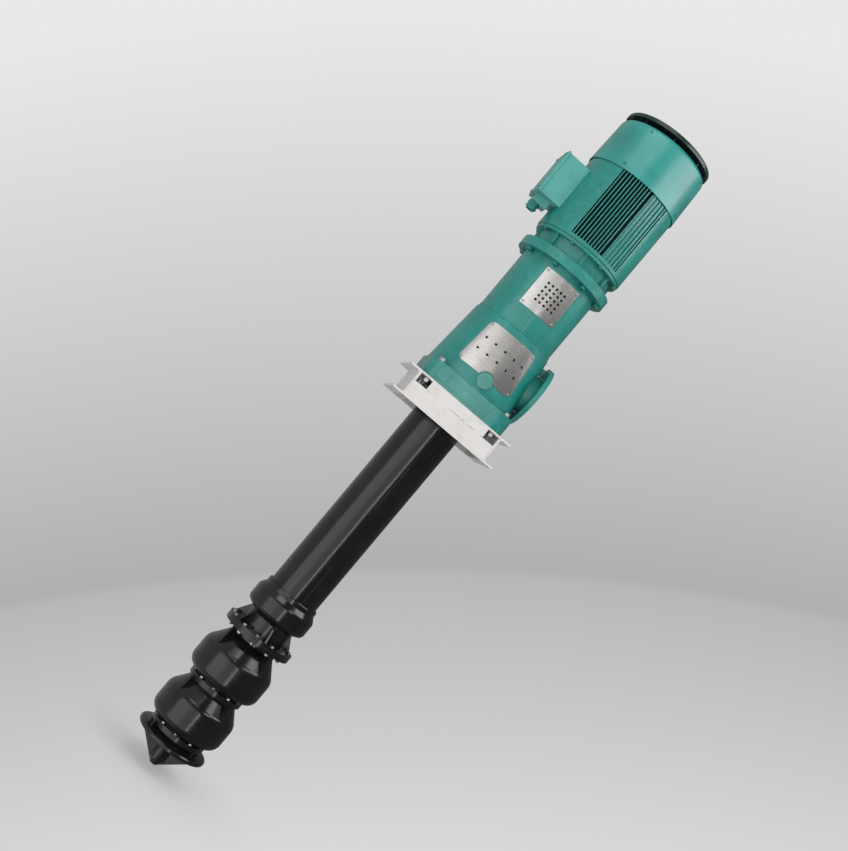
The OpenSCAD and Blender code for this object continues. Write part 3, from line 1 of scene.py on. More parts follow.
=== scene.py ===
# %% [markdown]
# # A line-shaft turbine pump, dressed for a studio picture
#
# The pump stands upright in its own frame: Z runs up the shaft, the discharge flange looks along +X,
# and the origin is at the foot of the base frame. Below it hang the column pipe and the bowls, above
# it stand the discharge head, the motor stool and the motor. The picture that this scene follows looks
# at it nearly from the front, with the camera rolled so far that the pump lies across the frame.
#
# The machine's solids come in as a fixed frame. This script gives every one of them the finish that
# the real one has, and swaps the plain fasteners for ones with chamfers, washers and threads.

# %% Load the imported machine
import bpy
import bmesh
import math
from mathutils import Matrix, Vector


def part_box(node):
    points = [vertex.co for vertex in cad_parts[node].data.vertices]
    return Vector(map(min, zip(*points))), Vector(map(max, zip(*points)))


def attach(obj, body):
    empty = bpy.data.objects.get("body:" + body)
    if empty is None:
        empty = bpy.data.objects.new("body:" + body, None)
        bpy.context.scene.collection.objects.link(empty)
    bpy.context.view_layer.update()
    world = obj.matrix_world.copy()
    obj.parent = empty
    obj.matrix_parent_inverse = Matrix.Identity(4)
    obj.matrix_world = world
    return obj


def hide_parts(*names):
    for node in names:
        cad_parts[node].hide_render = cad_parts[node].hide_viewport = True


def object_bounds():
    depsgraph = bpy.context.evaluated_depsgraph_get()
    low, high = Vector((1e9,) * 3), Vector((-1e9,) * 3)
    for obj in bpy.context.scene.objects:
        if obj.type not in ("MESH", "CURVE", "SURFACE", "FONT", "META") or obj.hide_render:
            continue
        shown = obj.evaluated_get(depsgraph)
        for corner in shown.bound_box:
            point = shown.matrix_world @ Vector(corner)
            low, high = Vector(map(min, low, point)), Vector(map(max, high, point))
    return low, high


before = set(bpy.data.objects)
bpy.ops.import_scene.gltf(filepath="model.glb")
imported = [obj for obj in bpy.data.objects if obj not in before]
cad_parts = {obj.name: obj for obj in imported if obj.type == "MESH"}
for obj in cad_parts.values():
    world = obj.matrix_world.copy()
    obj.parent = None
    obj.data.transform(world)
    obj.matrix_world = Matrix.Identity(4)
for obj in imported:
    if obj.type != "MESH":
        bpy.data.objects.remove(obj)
cad_low, cad_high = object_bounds()
print("nodes", len(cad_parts))
print("from", tuple(round(v, 3) for v in cad_low), "to", tuple(round(v, 3) for v in cad_high))

# %% [markdown]
# ## The camera
#
# A long lens flattens the pump, a short one makes its motor swell. The size of the motor's flange
# against the bowls' lips says how far away the real camera stood: about five metres, level with the
# middle of the column. Rolling the camera by forty degrees lays the pump across the frame. That is
# better than tilting the pump, because everything in the scene then keeps the machine's own axes.

# %% The camera
EYE = Vector((-0.684, -5.195, -0.272))
YAW = math.radians(7.5)
ROLL = math.radians(40.0)
PICTURE_W, PICTURE_H = 848, 851
FOCAL_PX = 1233.0
CENTRE_PX = (394.2, 474.6)
SENSOR_MM = 36.0

ahead = Vector((math.sin(YAW), math.cos(YAW), 0.0))
level = Vector((math.cos(YAW), -math.sin(YAW), 0.0))
rise = Vector((0.0, 0.0, 1.0))
across = level * math.cos(ROLL) + rise * math.sin(ROLL)
upward = rise * math.cos(ROLL) - level * math.sin(ROLL)

lens_data = bpy.data.cameras.new("studio_camera")
long_side = max(PICTURE_W, PICTURE_H)
lens_data.sensor_width = SENSOR_MM
lens_data.lens = FOCAL_PX / long_side * lens_data.sensor_width
lens_data.shift_x = (PICTURE_W / 2 - CENTRE_PX[0]) / long_side
lens_data.shift_y = (CENTRE_PX[1] - PICTURE_H / 2) / long_side
lens_data.clip_start = 0.1
lens_data.clip_end = 60.0
camera = bpy.data.objects.new("studio_camera", lens_data)
camera.matrix_world = Matrix((
    (across.x, upward.x, -ahead.x, EYE.x),
    (across.y, upward.y, -ahead.y, EYE.y),
    (across.z, upward.z, -ahead.z, EYE.z),
    (0.0, 0.0, 0.0, 1.0)))
bpy.context.scene.collection.objects.link(camera)
bpy.context.scene.camera = camera
print("lens", round(lens_data.lens, 2), "mm")
print("shift", round(lens_data.shift_x, 4), round(lens_data.shift_y, 4))

# %% [markdown]
# ## Helpers for materials
#
# A material is a small graph. One function adds a node and wires it, so that each finish below reads
# as a list of what happens to the surface. Colours are written as a painter's hex code in sRGB, and
# one function turns them to the linear values that light is reckoned in.
#
# Every pattern is measured in millimetres on the machine, through the object's own coordinates: these
# don't slide when the camera moves, and they survive an export.
#
# Paint wears off where an edge turns, but never evenly. So the wear on edges is multiplied with a noise
# that breaks it into flakes, in one function that every painted finish but the canopy's uses.

# %% Helpers for materials
def linear(code):
    parts = [int(code[i:i + 2], 16) / 255 for i in (1, 3, 5)]
    return tuple(v / 12.92 if v <= 0.04045 else ((v + 0.055) / 1.055) ** 2.4 for v in parts) + (1.0,)


def add(tree, kind, inputs=None, **settings):
    """Adds a node; an input is either linked to a socket or set to a plain value."""
    made = tree.nodes.new(kind)
    for name, value in settings.items():
        setattr(made, name, value)
    for name, value in (inputs or {}).items():
        if isinstance(value, bpy.types.NodeSocket):
            tree.links.new(value, made.inputs[name])
        else:
            made.inputs[name].default_value = value
    return made


def times(tree, first, second):
    return add(tree, "ShaderNodeMath", {0: first, 1: second}, operation="MULTIPLY").outputs[0]


def scaled(tree, place, factors):
    return add(tree, "ShaderNodeVectorMath", {0: place, 1: factors}, operation="MULTIPLY").outputs["Vector"]


def per_metre(size_mm):
    return 1000.0 / size_mm


def new_finish(name):
    finish = bpy.data.materials.new(name)
    finish.use_nodes = True
    finish.node_tree.nodes.clear()
    tree = finish.node_tree
    place = add(tree, "ShaderNodeTexCoord").outputs["Object"]
    return finish, tree, place


def cloud(tree, place, size_mm, detail=3.0, stretch=None, rough=0.55):
    """A noise whose blobs are size_mm across; stretch squeezes the place first, so blobs grow long."""
    if stretch is not None:
        place = scaled(tree, place, stretch)
    inputs = {"Vector": place, "Scale": per_metre(size_mm), "Detail": detail, "Roughness": rough}
    return add(tree, "ShaderNodeTexNoise", inputs).outputs["Fac"]


def spread(tree, value, low, high, to_low=0.0, to_high=1.0):
    """Stretches the part of a value between two limits over a new range, and cuts off what is outside."""
    inputs = {"Value": value, "From Min": low, "From Max": high, "To Min": to_low, "To Max": to_high}
    return add(tree, "ShaderNodeMapRange", inputs).outputs["Result"]


def blend_colours(tree, share, first, second):
    """The first colour where the share is 0, the second where it is 1."""
    inputs = {0: share, 6: first, 7: second}
    return add(tree, "ShaderNodeMix", inputs, data_type="RGBA").outputs[2]


def within_radius(tree, place, none_mm, full_mm):
    """0 outside the first distance from the pump's axis, 1 inside the second."""
    flat = scaled(tree, place, (1.0, 1.0, 0.0))
    radius = add(tree, "ShaderNodeVectorMath", {0: flat}, operation="LENGTH").outputs["Value"]
    return spread(tree, radius, none_mm / 1000, full_mm / 1000)


def sharp_edge_share(tree, reach_mm):
    """1 where the surface turns sharply within the reach, 0 on a flat."""
    soft = add(tree, "ShaderNodeBevel", {"Radius": reach_mm / 1000}, samples=4).outputs["Normal"]
    true = add(tree, "ShaderNodeNewGeometry").outputs["Normal"]
    turn = add(tree, "ShaderNodeVectorMath", {0: soft, 1: true}, operation="DOT_PRODUCT").outputs["Value"]
    return spread(tree, turn, 0.99, 0.8)


def wear_edges(tree, place, colour, reach_mm, flake_mm, flakes, share, bare):
    """Bares sharp edges in flakes: from the first limit of the flakes' noise, and fully from the second."""
    flaked = spread(tree, cloud(tree, place, flake_mm, 5.0), *flakes)
    edge_share = times(tree, sharp_edge_share(tree, reach_mm), flaked)
    return blend_colours(tree, times(tree, edge_share, share), colour, linear(bare))


def finish_surface(tree, colour, rough, metal=0.0, coat=0.0, coat_rough=0.1, ior=1.5,
                   bumps=(), round_mm=0.8, sheen=0.0, turn=0.0):
    """Ends a material; bumps are (noise, depth in mm, strength), and turn is the anisotropy."""
    inputs = {"Base Color": colour, "Roughness": rough, "Metallic": metal}
    shader = add(tree, "ShaderNodeBsdfPrincipled", inputs)
    if metal < 1.0:
        shader.inputs["IOR"].default_value = ior
    shader.inputs["Coat Weight"].default_value = coat
    shader.inputs["Coat Roughness"].default_value = coat_rough
    shader.inputs["Sheen Weight"].default_value = sheen
    shader.inputs["Anisotropic"].default_value = turn
    if round_mm > 0:
        normal = add(tree, "ShaderNodeBevel", {"Radius": round_mm / 1000}, samples=4).outputs["Normal"]
    else:
        normal = add(tree, "ShaderNodeNewGeometry").outputs["Normal"]
    for height, depth_mm, strength in bumps:
        inputs = {"Height": height, "Distance": depth_mm / 1000, "Strength": strength, "Normal": normal}
        normal = add(tree, "ShaderNodeBump", inputs).outputs["Normal"]
    tree.links.new(normal, shader.inputs["Normal"])
    add(tree, "ShaderNodeOutputMaterial", {"Surface": shader.outputs["BSDF"]})


def dress(finish, *names):
    """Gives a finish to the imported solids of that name."""
    for name in names:
        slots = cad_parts[name].data.materials
        slots.clear()
        slots.append(finish)
    print(finish.name, "on", ", ".join(names))


# %% [markdown]
# ## Enamel sprayed over cast iron
#
# The discharge head, the stool, the endshield and the finned frame are grey iron castings under a
# teal machinery enamel. The mould's sand leaves a skin with a grain of two to four millimetres, which
# the enamel fills to a soft unevenness; the spray itself dries to a finer orange peel. The gloss is
# broken in patches, dust lies in fine specks, the corners are darkened as painted shade, and the coat
# is thin and pale where an edge turns.
#
# A bevel node rounds the corners for the light only, which is what the thick paint does on the real
# casting, without one more polygon. The inside of a casting isn't enamelled and lies in shade, so where
# a point lies nearer to the pump's axis than the shell does, the colour goes over to a near black: bare
# iron, darkened further as painted shade. On the finned frame the same mask paints the shade between
# the fins as a deep teal-black.

# %% Enamel over cast iron
TEAL, TEAL_DEEP, TEAL_PALE = "#238a80", "#1a776f", "#4fa59c"
CORNER_SHADE_TEAL, IRON_DUST = "#123c38", "#8f8e84"


def teal_over_casting(name, grain_depth_mm, bare_and_shade_from_mm, bare_and_shade_to_mm, bare_and_shade_code):
    finish, tree, place = new_finish(name)
    broad = cloud(tree, place, 160, 2.0)
    blotch = cloud(tree, place, 28, 4.0)
    colour = blend_colours(tree, spread(tree, broad, 0.3, 0.75), linear(TEAL), linear(TEAL_DEEP))
    colour = blend_colours(tree, spread(tree, blotch, 0.52, 0.8, 0.0, 0.35), colour, linear(TEAL_PALE))
    colour = wear_edges(tree, place, colour, 2.5, 11, (0.42, 0.62), 0.55, TEAL_PALE)
    # Painted shade: an ambient occlusion node darkens the teal in corners and recesses, broken up in
    # blotches.
    corner = add(tree, "ShaderNodeAmbientOcclusion", {"Distance": 0.03}, samples=4).outputs["AO"]
    painted_corner_shade = times(tree, spread(tree, corner, 0.75, 0.2), spread(tree, blotch, 0.3, 0.7))
    colour = blend_colours(tree, times(tree, painted_corner_shade, 0.5), colour, linear(CORNER_SHADE_TEAL))
    dust = spread(tree, cloud(tree, place, 3.2, 2.0), 0.66, 0.74, 0.0, 0.25)
    colour = blend_colours(tree, dust, colour, linear(IRON_DUST))
    # Painted shade: inside the given radius the enamel goes to a near black, both for the unpainted inside
    # and for the shade that lies there.
    inside = within_radius(tree, place, bare_and_shade_from_mm, bare_and_shade_to_mm)
    colour = blend_colours(tree, inside, colour, linear(bare_and_shade_code))
    rough = spread(tree, cloud(tree, place, 45, 3.0), 0.3, 0.7, 0.24, 0.42)
    sand = cloud(tree, place, 3.4, 2.0)
    peel = cloud(tree, place, 1.6, 1.0)
    finish_surface(tree, colour, rough, coat=0.3, coat_rough=0.12, round_mm=1.8,
                   bumps=((sand, grain_depth_mm, 0.5), (peel, 0.05, 0.5)))
    return finish


# Inside 172 mm the colour is unpainted iron, painted near black as its shade.
enamel_on_casting = teal_over_casting("Sprayed_enamel_on_sand_cast_iron", 0.35, 172, 168, "#0b0c0c")
dress(enamel_on_casting, "discharge_head", "drive_endshield", "rear_endshield")
# Painted shade: inside 200 mm the colour goes to a deep teal-black, the shade between the fins.
enamel_on_fins = teal_over_casting("Sprayed_enamel_on_finned_casting", 0.3, 200, 178, "#062c2c")
dress(enamel_on_fins, "motor_frame")
# Inside 180 mm the colour is the stool's unpainted inside, painted near black as its shade.
enamel_on_stool = teal_over_casting("Sprayed_enamel_on_turned_casting", 0.16, 180, 177, "#0b0c0c")
dress(enamel_on_stool, "motor_stool", "motor_flange_bolts", "cable_gland", "cowl_screws", "lid_screws")

# %% [markdown]
# ## Enamel on sheet steel
#
# The fan cowl is spun from sheet, and the terminal box and its lid are pressed. The same teal lies on
# them far smoother than on iron, so what shows is a long soft highlight with a little orange peel, and
# faint runs down the cowl where rain has dried.

# %% Enamel on sheet steel
def teal_over_sheet(name, main, deep):
    finish, tree, place = new_finish(name)
    runs = cloud(tree, place, 30, 3.0, stretch=(1.0, 1.0, 0.12))
    broad = cloud(tree, place, 120, 2.0)
    colour = blend_colours(tree, spread(tree, broad, 0.35, 0.75), linear(main), linear(deep))
    colour = blend_colours(tree, spread(tree, runs, 0.55, 0.8, 0.0, 0.3), colour, linear("#62b5ac"))
    colour = wear_edges(tree, place, colour, 1.5, 9, (0.45, 0.6), 0.6, "#86c0b8")
    rough = spread(tree, runs, 0.35, 0.7, 0.36, 0.48)
    wave = cloud(tree, place, 60, 1.0)
    peel = cloud(tree, place, 2.2, 1.0)
    finish_surface(tree, colour, rough, coat=0.7, coat_rough=0.32, round_mm=1.0,
                   bumps=((wave, 0.2, 0.25), (peel, 0.03, 0.4)))
    return finish


enamel_on_cowl = teal_over_sheet("Sprayed_enamel_on_spun_sheet_steel", "#1e9089", "#197d76")
dress(enamel_on_cowl, "fan_cowl")
enamel_on_box = teal_over_sheet("Faded_enamel_on_pressed_steel", "#4ea69f", "#3b9389")
dress(enamel_on_box, "terminal_box", "terminal_box_lid")

# %% The canopy's enamel, darkened as painted shade
def canopy_enamel():
    finish, tree, place = new_finish("Dark_enamel_on_pressed_steel")
    spots = cloud(tree, place, 14, 5.0)
    # Painted shade: the canopy is the same teal as the motor, painted a near black-green for the shade it
    # hangs in.
    colour = blend_colours(tree, spread(tree, spots, 0.35, 0.75), linear("#071d1c"), linear("#0f3431"))
    # Painted highlight: every sharp edge goes a paler teal, as the rim catches light.
    edge_share = spread(tree, sharp_edge_share(tree, 2.0), 0.0, 1.0, 0.0, 0.3)
    colour = blend_colours(tree, edge_share, colour, linear("#3c6f68"))
    rough = spread(tree, spots, 0.3, 0.7, 0.3, 0.5)
    grain = cloud(tree, place, 5, 2.0)
    finish_surface(tree, colour, rough, coat=0.3, coat_rough=0.15, round_mm=1.2,
                   bumps=((grain, 0.12, 0.4),))
    return finish


dress(canopy_enamel(), "rain_canopy")

# %% [markdown]
# ## Epoxy coating on what hangs in the water
#
# The column pipe and the bowls are dipped and brushed with a black epoxy. On the drawn pipe it lies
# smooth, with long brush lines along the axis and a scratch or two; on the bowls the sand-cast skin
# comes through. Both look grey where a light is reflected, because a black gloss paint has no colour
# of its own to show. The pipe goes without the bevel node: it has few corners to round, and the node's
# own noise would break up the thin highlight along it.

# %% Epoxy on pipe and castings
def black_epoxy(name, skin_mm, skin_depth_mm, brushed):
    finish, tree, place = new_finish(name)
    tone = cloud(tree, place, 70, 3.0)
    colour = blend_colours(tree, spread(tree, tone, 0.3, 0.75), linear("#0f0f10"), linear("#171718"))
    drag = cloud(tree, place, 5, 3.0, stretch=(1.0, 1.0, 0.03))
    if brushed:
        colour = blend_colours(tree, spread(tree, drag, 0.55, 0.75, 0.0, 0.5), colour, linear("#232324"))
        scratch = cloud(tree, place, 2.4, 0.0, stretch=(1.0, 1.0, 0.004))
        colour = blend_colours(tree, spread(tree, scratch, 0.79, 0.82, 0.0, 0.8), colour, linear("#4a4a49"))
    colour = wear_edges(tree, place, colour, 2.5, 8, (0.4, 0.6), 0.6, "#5e5e5d")
    dust = spread(tree, cloud(tree, place, 4.0, 4.0), 0.64, 0.78, 0.0, 0.3)
    colour = blend_colours(tree, dust, colour, linear("#77756f"))
    rough = spread(tree, drag if brushed else tone, 0.3, 0.7, 0.14, 0.24)
    skin = cloud(tree, place, skin_mm, 2.0)
    finish_surface(tree, colour, rough, coat=0.15, coat_rough=0.08, round_mm=0.0 if brushed else 1.6,
                   bumps=((skin, skin_depth_mm, 0.5), (drag, 0.015, 0.3 if brushed else 0.1)))
    return finish


dress(black_epoxy("Brushed_epoxy_on_drawn_pipe", 9.0, 0.03, True), "column_pipe")
dress(black_epoxy("Dipped_epoxy_on_sand_cast_iron", 5.0, 0.12, False),
      "discharge_case", "bowl_upper", "bowl_lower", "suction_bell", "stuffing_box")

# %% [markdown]
# ## Primer on rolled channels
#
# The base frame is welded from rolled channel and has only a chalky white primer. It shows what bare
# primer shows: grey finger marks, a pale rust bloom that starts at specks, and darker lines along the
# edges where the coat is thin, darkened further as painted shade. A weld runs level along it; ground
# flat, it still shows through the primer as a broken grey line.

# %% Primer on rolled steel
SEAM_Z_MM = 77


def seam_at(tree, place, z_mm, half_mm=2.0):
    """1 on a level line at the given height, 0 away from it."""
    z = add(tree, "ShaderNodeSeparateXYZ", {0: place}).outputs["Z"]
    off = add(tree, "ShaderNodeMath", {0: z, 1: z_mm / 1000}, operation="SUBTRACT").outputs[0]
    away = add(tree, "ShaderNodeMath", {0: off}, operation="ABSOLUTE").outputs[0]
    return spread(tree, away, half_mm / 1000, 0.4 * half_mm / 1000)


def white_primer():
    finish, tree, place = new_finish("Chalky_primer_on_rolled_steel")
    marks = cloud(tree, place, 40, 6.0)
    colour = blend_colours(tree, spread(tree, marks, 0.45, 0.75), linear("#dbd7d5"), linear("#d2cecb"))
    rub = cloud(tree, place, 16, 5.0, stretch=(0.35, 1.0, 1.0))
    colour = blend_colours(tree, spread(tree, rub, 0.6, 0.75, 0.0, 0.45), colour, linear("#a9a39f"))
    specks = spread(tree, cloud(tree, place, 6, 6.0, rough=0.7), 0.66, 0.72)
    colour = blend_colours(tree, times(tree, specks, 0.7), colour, linear("#8a5a41"))
    # Edges go dark in flakes: thin primer, and darker still as painted shade.
    colour = wear_edges(tree, place, colour, 3.0, 12, (0.38, 0.55), 0.8, "#57504b")
    broken = spread(tree, cloud(tree, place, 22, 2.0), 0.5, 0.56)
    seam = times(tree, seam_at(tree, place, SEAM_Z_MM), broken)
    colour = blend_colours(tree, times(tree, seam, 0.7), colour, linear("#6f6862"))
    rough = spread(tree, marks, 0.3, 0.7, 0.55, 0.75)
    chalk = cloud(tree, place, 2.5, 3.0)
    finish_surface(tree, colour, rough, round_mm=1.2, bumps=((chalk, 0.12, 0.5), (specks, 0.15, 0.5)))
    return finish


dress(white_primer(), "base_channel_left", "base_channel_right", "cross_member_front", "cross_member_rear")

# %% [markdown]
# ## Rolled stainless sheet
#
# The four guards are bent from rolled stainless sheet with holes punched through. The rolls leave fine
# lines along the sheet, too fine for the picture at their real two tenths of a millimetre, so they are
# drawn at about one millimetre. They stretch the reflections across the curve of the guard: a pale
# band on one side, nearly black on the other.

# %% Stainless guards
def rolled_stainless():
    finish, tree, place = new_finish("Rolled_stainless_sheet")
    lines = cloud(tree, place, 1.2, 2.0, stretch=(0.02, 0.02, 1.0))
    haze = cloud(tree, place, 50, 3.0)
    colour = blend_colours(tree, spread(tree, lines, 0.35, 0.7), linear("#dddbd8"), linear("#c6c4c2"))
    colour = blend_colours(tree, spread(tree, haze, 0.5, 0.8, 0.0, 0.4), colour, linear("#dad0cc"))
    rough = spread(tree, lines, 0.3, 0.7, 0.24, 0.33)
    finish_surface(tree, colour, rough, metal=1.0, turn=0.3, round_mm=0.6,
                   bumps=((lines, 0.012, 0.5), (haze, 0.12, 0.1)))
    return finish


dress(rolled_stainless(), "guard_lower_front", "guard_lower_rear", "guard_upper_front", "guard_upper_rear")

# %% [markdown]
# ## Metals and the rest of the inner pieces
#
# Zinc plating on fasteners is dull silver with a milky film, ground shafts have fine rings round the
# axis, bronze is warm and goes brown in patches, machined iron is dark with turning marks. Each one is
# the same short recipe with its own colours and its own turning marks, so one function serves them.

# %% Bare metals
def bare_metal(name, bright, dull, rough_low, rough_high, mark_mm, mark_way, mark_depth_mm, patch_mm=20):
    finish, tree, place = new_finish(name)
    patch = cloud(tree, place, patch_mm, 4.0)
    marks = cloud(tree, place, mark_mm, 2.0, stretch=mark_way)
    colour = blend_colours(tree, spread(tree, patch, 0.35, 0.7), linear(bright), linear(dull))
    colour = blend_colours(tree, spread(tree, marks, 0.45, 0.75, 0.0, 0.35), colour, linear(dull))
    rough = spread(tree, patch, 0.3, 0.7, rough_low, rough_high)
    finish_surface(tree, colour, rough, metal=1.0, round_mm=0.5, bumps=((marks, mark_depth_mm, 0.5),))
    return finish


RINGS, SHEETS, STRANDS, EVEN = (0.06, 0.06, 1.0), (0.01, 0.01, 1.0), (1.0, 1.0, 0.3), (1.0, 1.0, 1.0)
zinc = bare_metal("Zinc_plated_steel", "#cfd1d0", "#9b9d9c", 0.28, 0.45, 2.0, EVEN, 0.05, 7)
ground = bare_metal("Ground_carbon_steel", "#c3c5c6", "#a0a3a5", 0.16, 0.28, 1.2, RINGS, 0.02)
bronze = bare_metal("Turned_tin_bronze", "#b5803f", "#7d5a31", 0.26, 0.42, 1.5, RINGS, 0.04)
iron = bare_metal("Turned_grey_iron", "#6f7375", "#54585a", 0.38, 0.52, 1.6, RINGS, 0.05)
laminated = bare_metal("Stacked_silicon_steel_sheet", "#85898c", "#5b5f62", 0.3, 0.45, 2.0, SHEETS, 0.3)
copper = bare_metal("Lacquered_copper_winding", "#b5652f", "#7c3f1c", 0.25, 0.4, 3.0, STRANDS, 0.8, 9)
dress(zinc, "head_bolts", "gland_studs", "gland_nuts", "stool_bolts", "guard_screws", "endshield_bolts",
      "coupling_bolts", "column_bolts", "flange_bolts", "bowl_screws")
dress(ground, "bearing_outer_races", "bearing_balls", "bearing_inner_races", "motor_shaft", "head_shaft",
      "bowl_shaft", "shaft_coupling", "impeller_collets")
dress(bronze, "gland_follower", "coupling_adjusting_nut", "shaft_bushes", "wear_rings", "impeller_upper",
      "impeller_lower", "sand_collar")
dress(iron, "coupling_motor_half", "coupling_pump_half")
dress(laminated, "stator_core", "rotor_core")
dress(copper, "stator_windings")

# %% [markdown]
# ## Plastics and packing
#
# The fan and the terminal block are moulded, with the faint pebble of a spark-eroded mould. The packing
# is a braid of graphited yarn, eight millimetres across, so its bump repeats every few millimetres.

# %% Plastics and packing
def moulded(name, code, dark, pebble_mm, depth_mm, rough_low, rough_high):
    finish, tree, place = new_finish(name)
    patch = cloud(tree, place, 30, 3.0)
    pebble = cloud(tree, place, pebble_mm, 2.0)
    colour = blend_colours(tree, spread(tree, patch, 0.35, 0.7), linear(code), linear(dark))
    rough = spread(tree, pebble, 0.3, 0.7, rough_low, rough_high)
    finish_surface(tree, colour, rough, ior=1.52, round_mm=0.6, bumps=((pebble, depth_mm, 0.5),))
    return finish


dress(moulded("Glass_filled_polyamide", "#2c2f31", "#1e2022", 1.8, 0.06, 0.45, 0.6), "cooling_fan")
dress(moulded("Moulded_phenolic", "#3b2f28", "#2a211c", 1.5, 0.03, 0.3, 0.45), "terminal_block")


def packing_braid():
    finish, tree, place = new_finish("Graphited_yarn_braid")
    cells = add(tree, "ShaderNodeTexVoronoi", {"Vector": place, "Scale": per_metre(3.0)})
    strands = cells.outputs["Distance"]
    colour = blend_colours(tree, spread(tree, strands, 0.0, 0.6), linear("#57503f"), linear("#2c2820"))
    finish_surface(tree, colour, 0.7, round_mm=0.8, sheen=0.3, bumps=((strands, 0.6, 0.8),))
    return finish


dress(packing_braid(), "packing_rings")

# %% [markdown]
# ## Fasteners
#
# A hexagon bolt is forged and then its top is turned to a cone, so each flat ends in a curved arc. The
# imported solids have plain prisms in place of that. Here one bolt is built as a mesh from rings of
# points: a ring follows the hexagon, and its height drops where the hexagon's corners reach outside
# the cone. The thread is a row of sharp rings: at this size nobody sees that they aren't one helix.
#
# A handful of bolts could be copied by hand, but they stand in circles, and a circle is a rule. So a
# Geometry Nodes tree puts them there, with the circle's radius, count and first angle as its inputs.

# %% One bolt, nut or screw as a mesh
def ring_of(shape, radius_at, z_at, sides):
    """Points round the axis: the radius follows from the angle, and the height from the radius."""
    made = []
    for i in range(sides):
        angle = 2 * math.pi * i / sides
        r = radius_at(angle)
        made.append(shape.verts.new((r * math.cos(angle), r * math.sin(angle), z_at(r))))
    return made


def join_rings(shape, lower, upper):
    n = len(lower)
    for i in range(n):
        shape.faces.new((lower[i], lower[(i + 1) % n], upper[(i + 1) % n], upper[i]))


def stack_rings(shape, rings):
    """Joins the rings from the lowest to the highest and closes both ends."""
    for lower, upper in zip(rings, rings[1:]):
        join_rings(shape, lower, upper)
    shape.faces.new(list(reversed(rings[0])))
    shape.faces.new(rings[-1])


def hexagon_radius(across):
    def radius_at(angle):
        turn = (angle + math.pi / 6) % (math.pi / 3) - math.pi / 6
        return across / 2 / math.cos(math.pi / 6 - abs(turn))
    return radius_at


SIDES, SHANK_SIDES = 24, 16
CHAMFER_SLOPE = 0.577
TOP_FLAT = 0.95
THREAD_DEPTH = 0.6


def hexagon_head(shape, across, low, high, chamfer_both=False):
    """A hexagon whose corners are turned off by a cone of thirty degrees."""
    flat_r = TOP_FLAT * across / 2
    outline = hexagon_radius(across)

    def drop(r):
        return (r - flat_r) * CHAMFER_SLOPE

    rings = []
    if chamfer_both:
        rings.append(ring_of(shape, lambda a: flat_r, lambda r: low, SIDES))
        rings.append(ring_of(shape, outline, lambda r: low + drop(r), SIDES))
    else:
        rings.append(ring_of(shape, outline, lambda r: low, SIDES))
    rings.append(ring_of(shape, outline, lambda r: high - drop(r), SIDES))
    rings.append(ring_of(shape, lambda a: flat_r, lambda r: high, SIDES))
    stack_rings(shape, rings)


def turned(shape, profile, sides=SIDES):
    """A closed turned piece from (radius, height) pairs, lowest first."""
    rings = [ring_of(shape, lambda a, r=r: r, lambda _, z=z: z, sides) for r, z in profile]
    stack_rings(shape, rings)


def threaded_end(shape, radius, low, high, pitch):
    """A pointed end with a crest and a root for every turn of the thread."""
    steps = max(2, int((high - low) / pitch))
    turn_h = (high - low) / steps
    root = radius - THREAD_DEPTH * pitch
    profile = [(radius * 0.8, low)]
    for i in range(steps):
        crest_z = low + (i + 0.35) * turn_h
        profile += [(radius, crest_z), (root, crest_z + 0.5 * turn_h)]
    profile.append((root, high))
    turned(shape, profile, SHANK_SIDES)


def finished_mesh(name, shape):
    bmesh.ops.recalc_face_normals(shape, faces=shape.faces)
    mesh = bpy.data.meshes.new(name)
    shape.to_mesh(mesh)
    shape.free()
    return mesh


def pattern_part(name, build):
    shape = bmesh.new()
    build(shape)
    part = bpy.data.objects.new(name, finished_mesh(name, shape))
    print(name, len(part.data.polygons), "faces")
    return part


# %% A tree that stands parts in a circle
def give_inputs(tree, **kinds):
    """Names the tree's inputs, in this order, and its one output."""
    for name, kind in kinds.items():
        label = name.replace("_", " ")
        tree.interface.new_socket(label, in_out="INPUT", socket_type="NodeSocket" + kind)
    tree.interface.new_socket("Geometry", in_out="OUTPUT", socket_type="NodeSocketGeometry")


def stand_parts(tree, given, where):
    """Ends a tree: one part on every point, made real and given its finish."""
    part = add(tree, "GeometryNodeObjectInfo", {"Object": given["Part"]}).outputs["Geometry"]
    stood = add(tree, "GeometryNodeInstanceOnPoints", {"Instance": part, **where}).outputs[0]
    real = add(tree, "GeometryNodeRealizeInstances", {"Geometry": stood}).outputs[0]
    finished = {"Geometry": real, "Material": given["Finish"]}
    dressed = add(tree, "GeometryNodeSetMaterial", finished).outputs[0]
    add(tree, "NodeGroupOutput", {"Geometry": dressed})


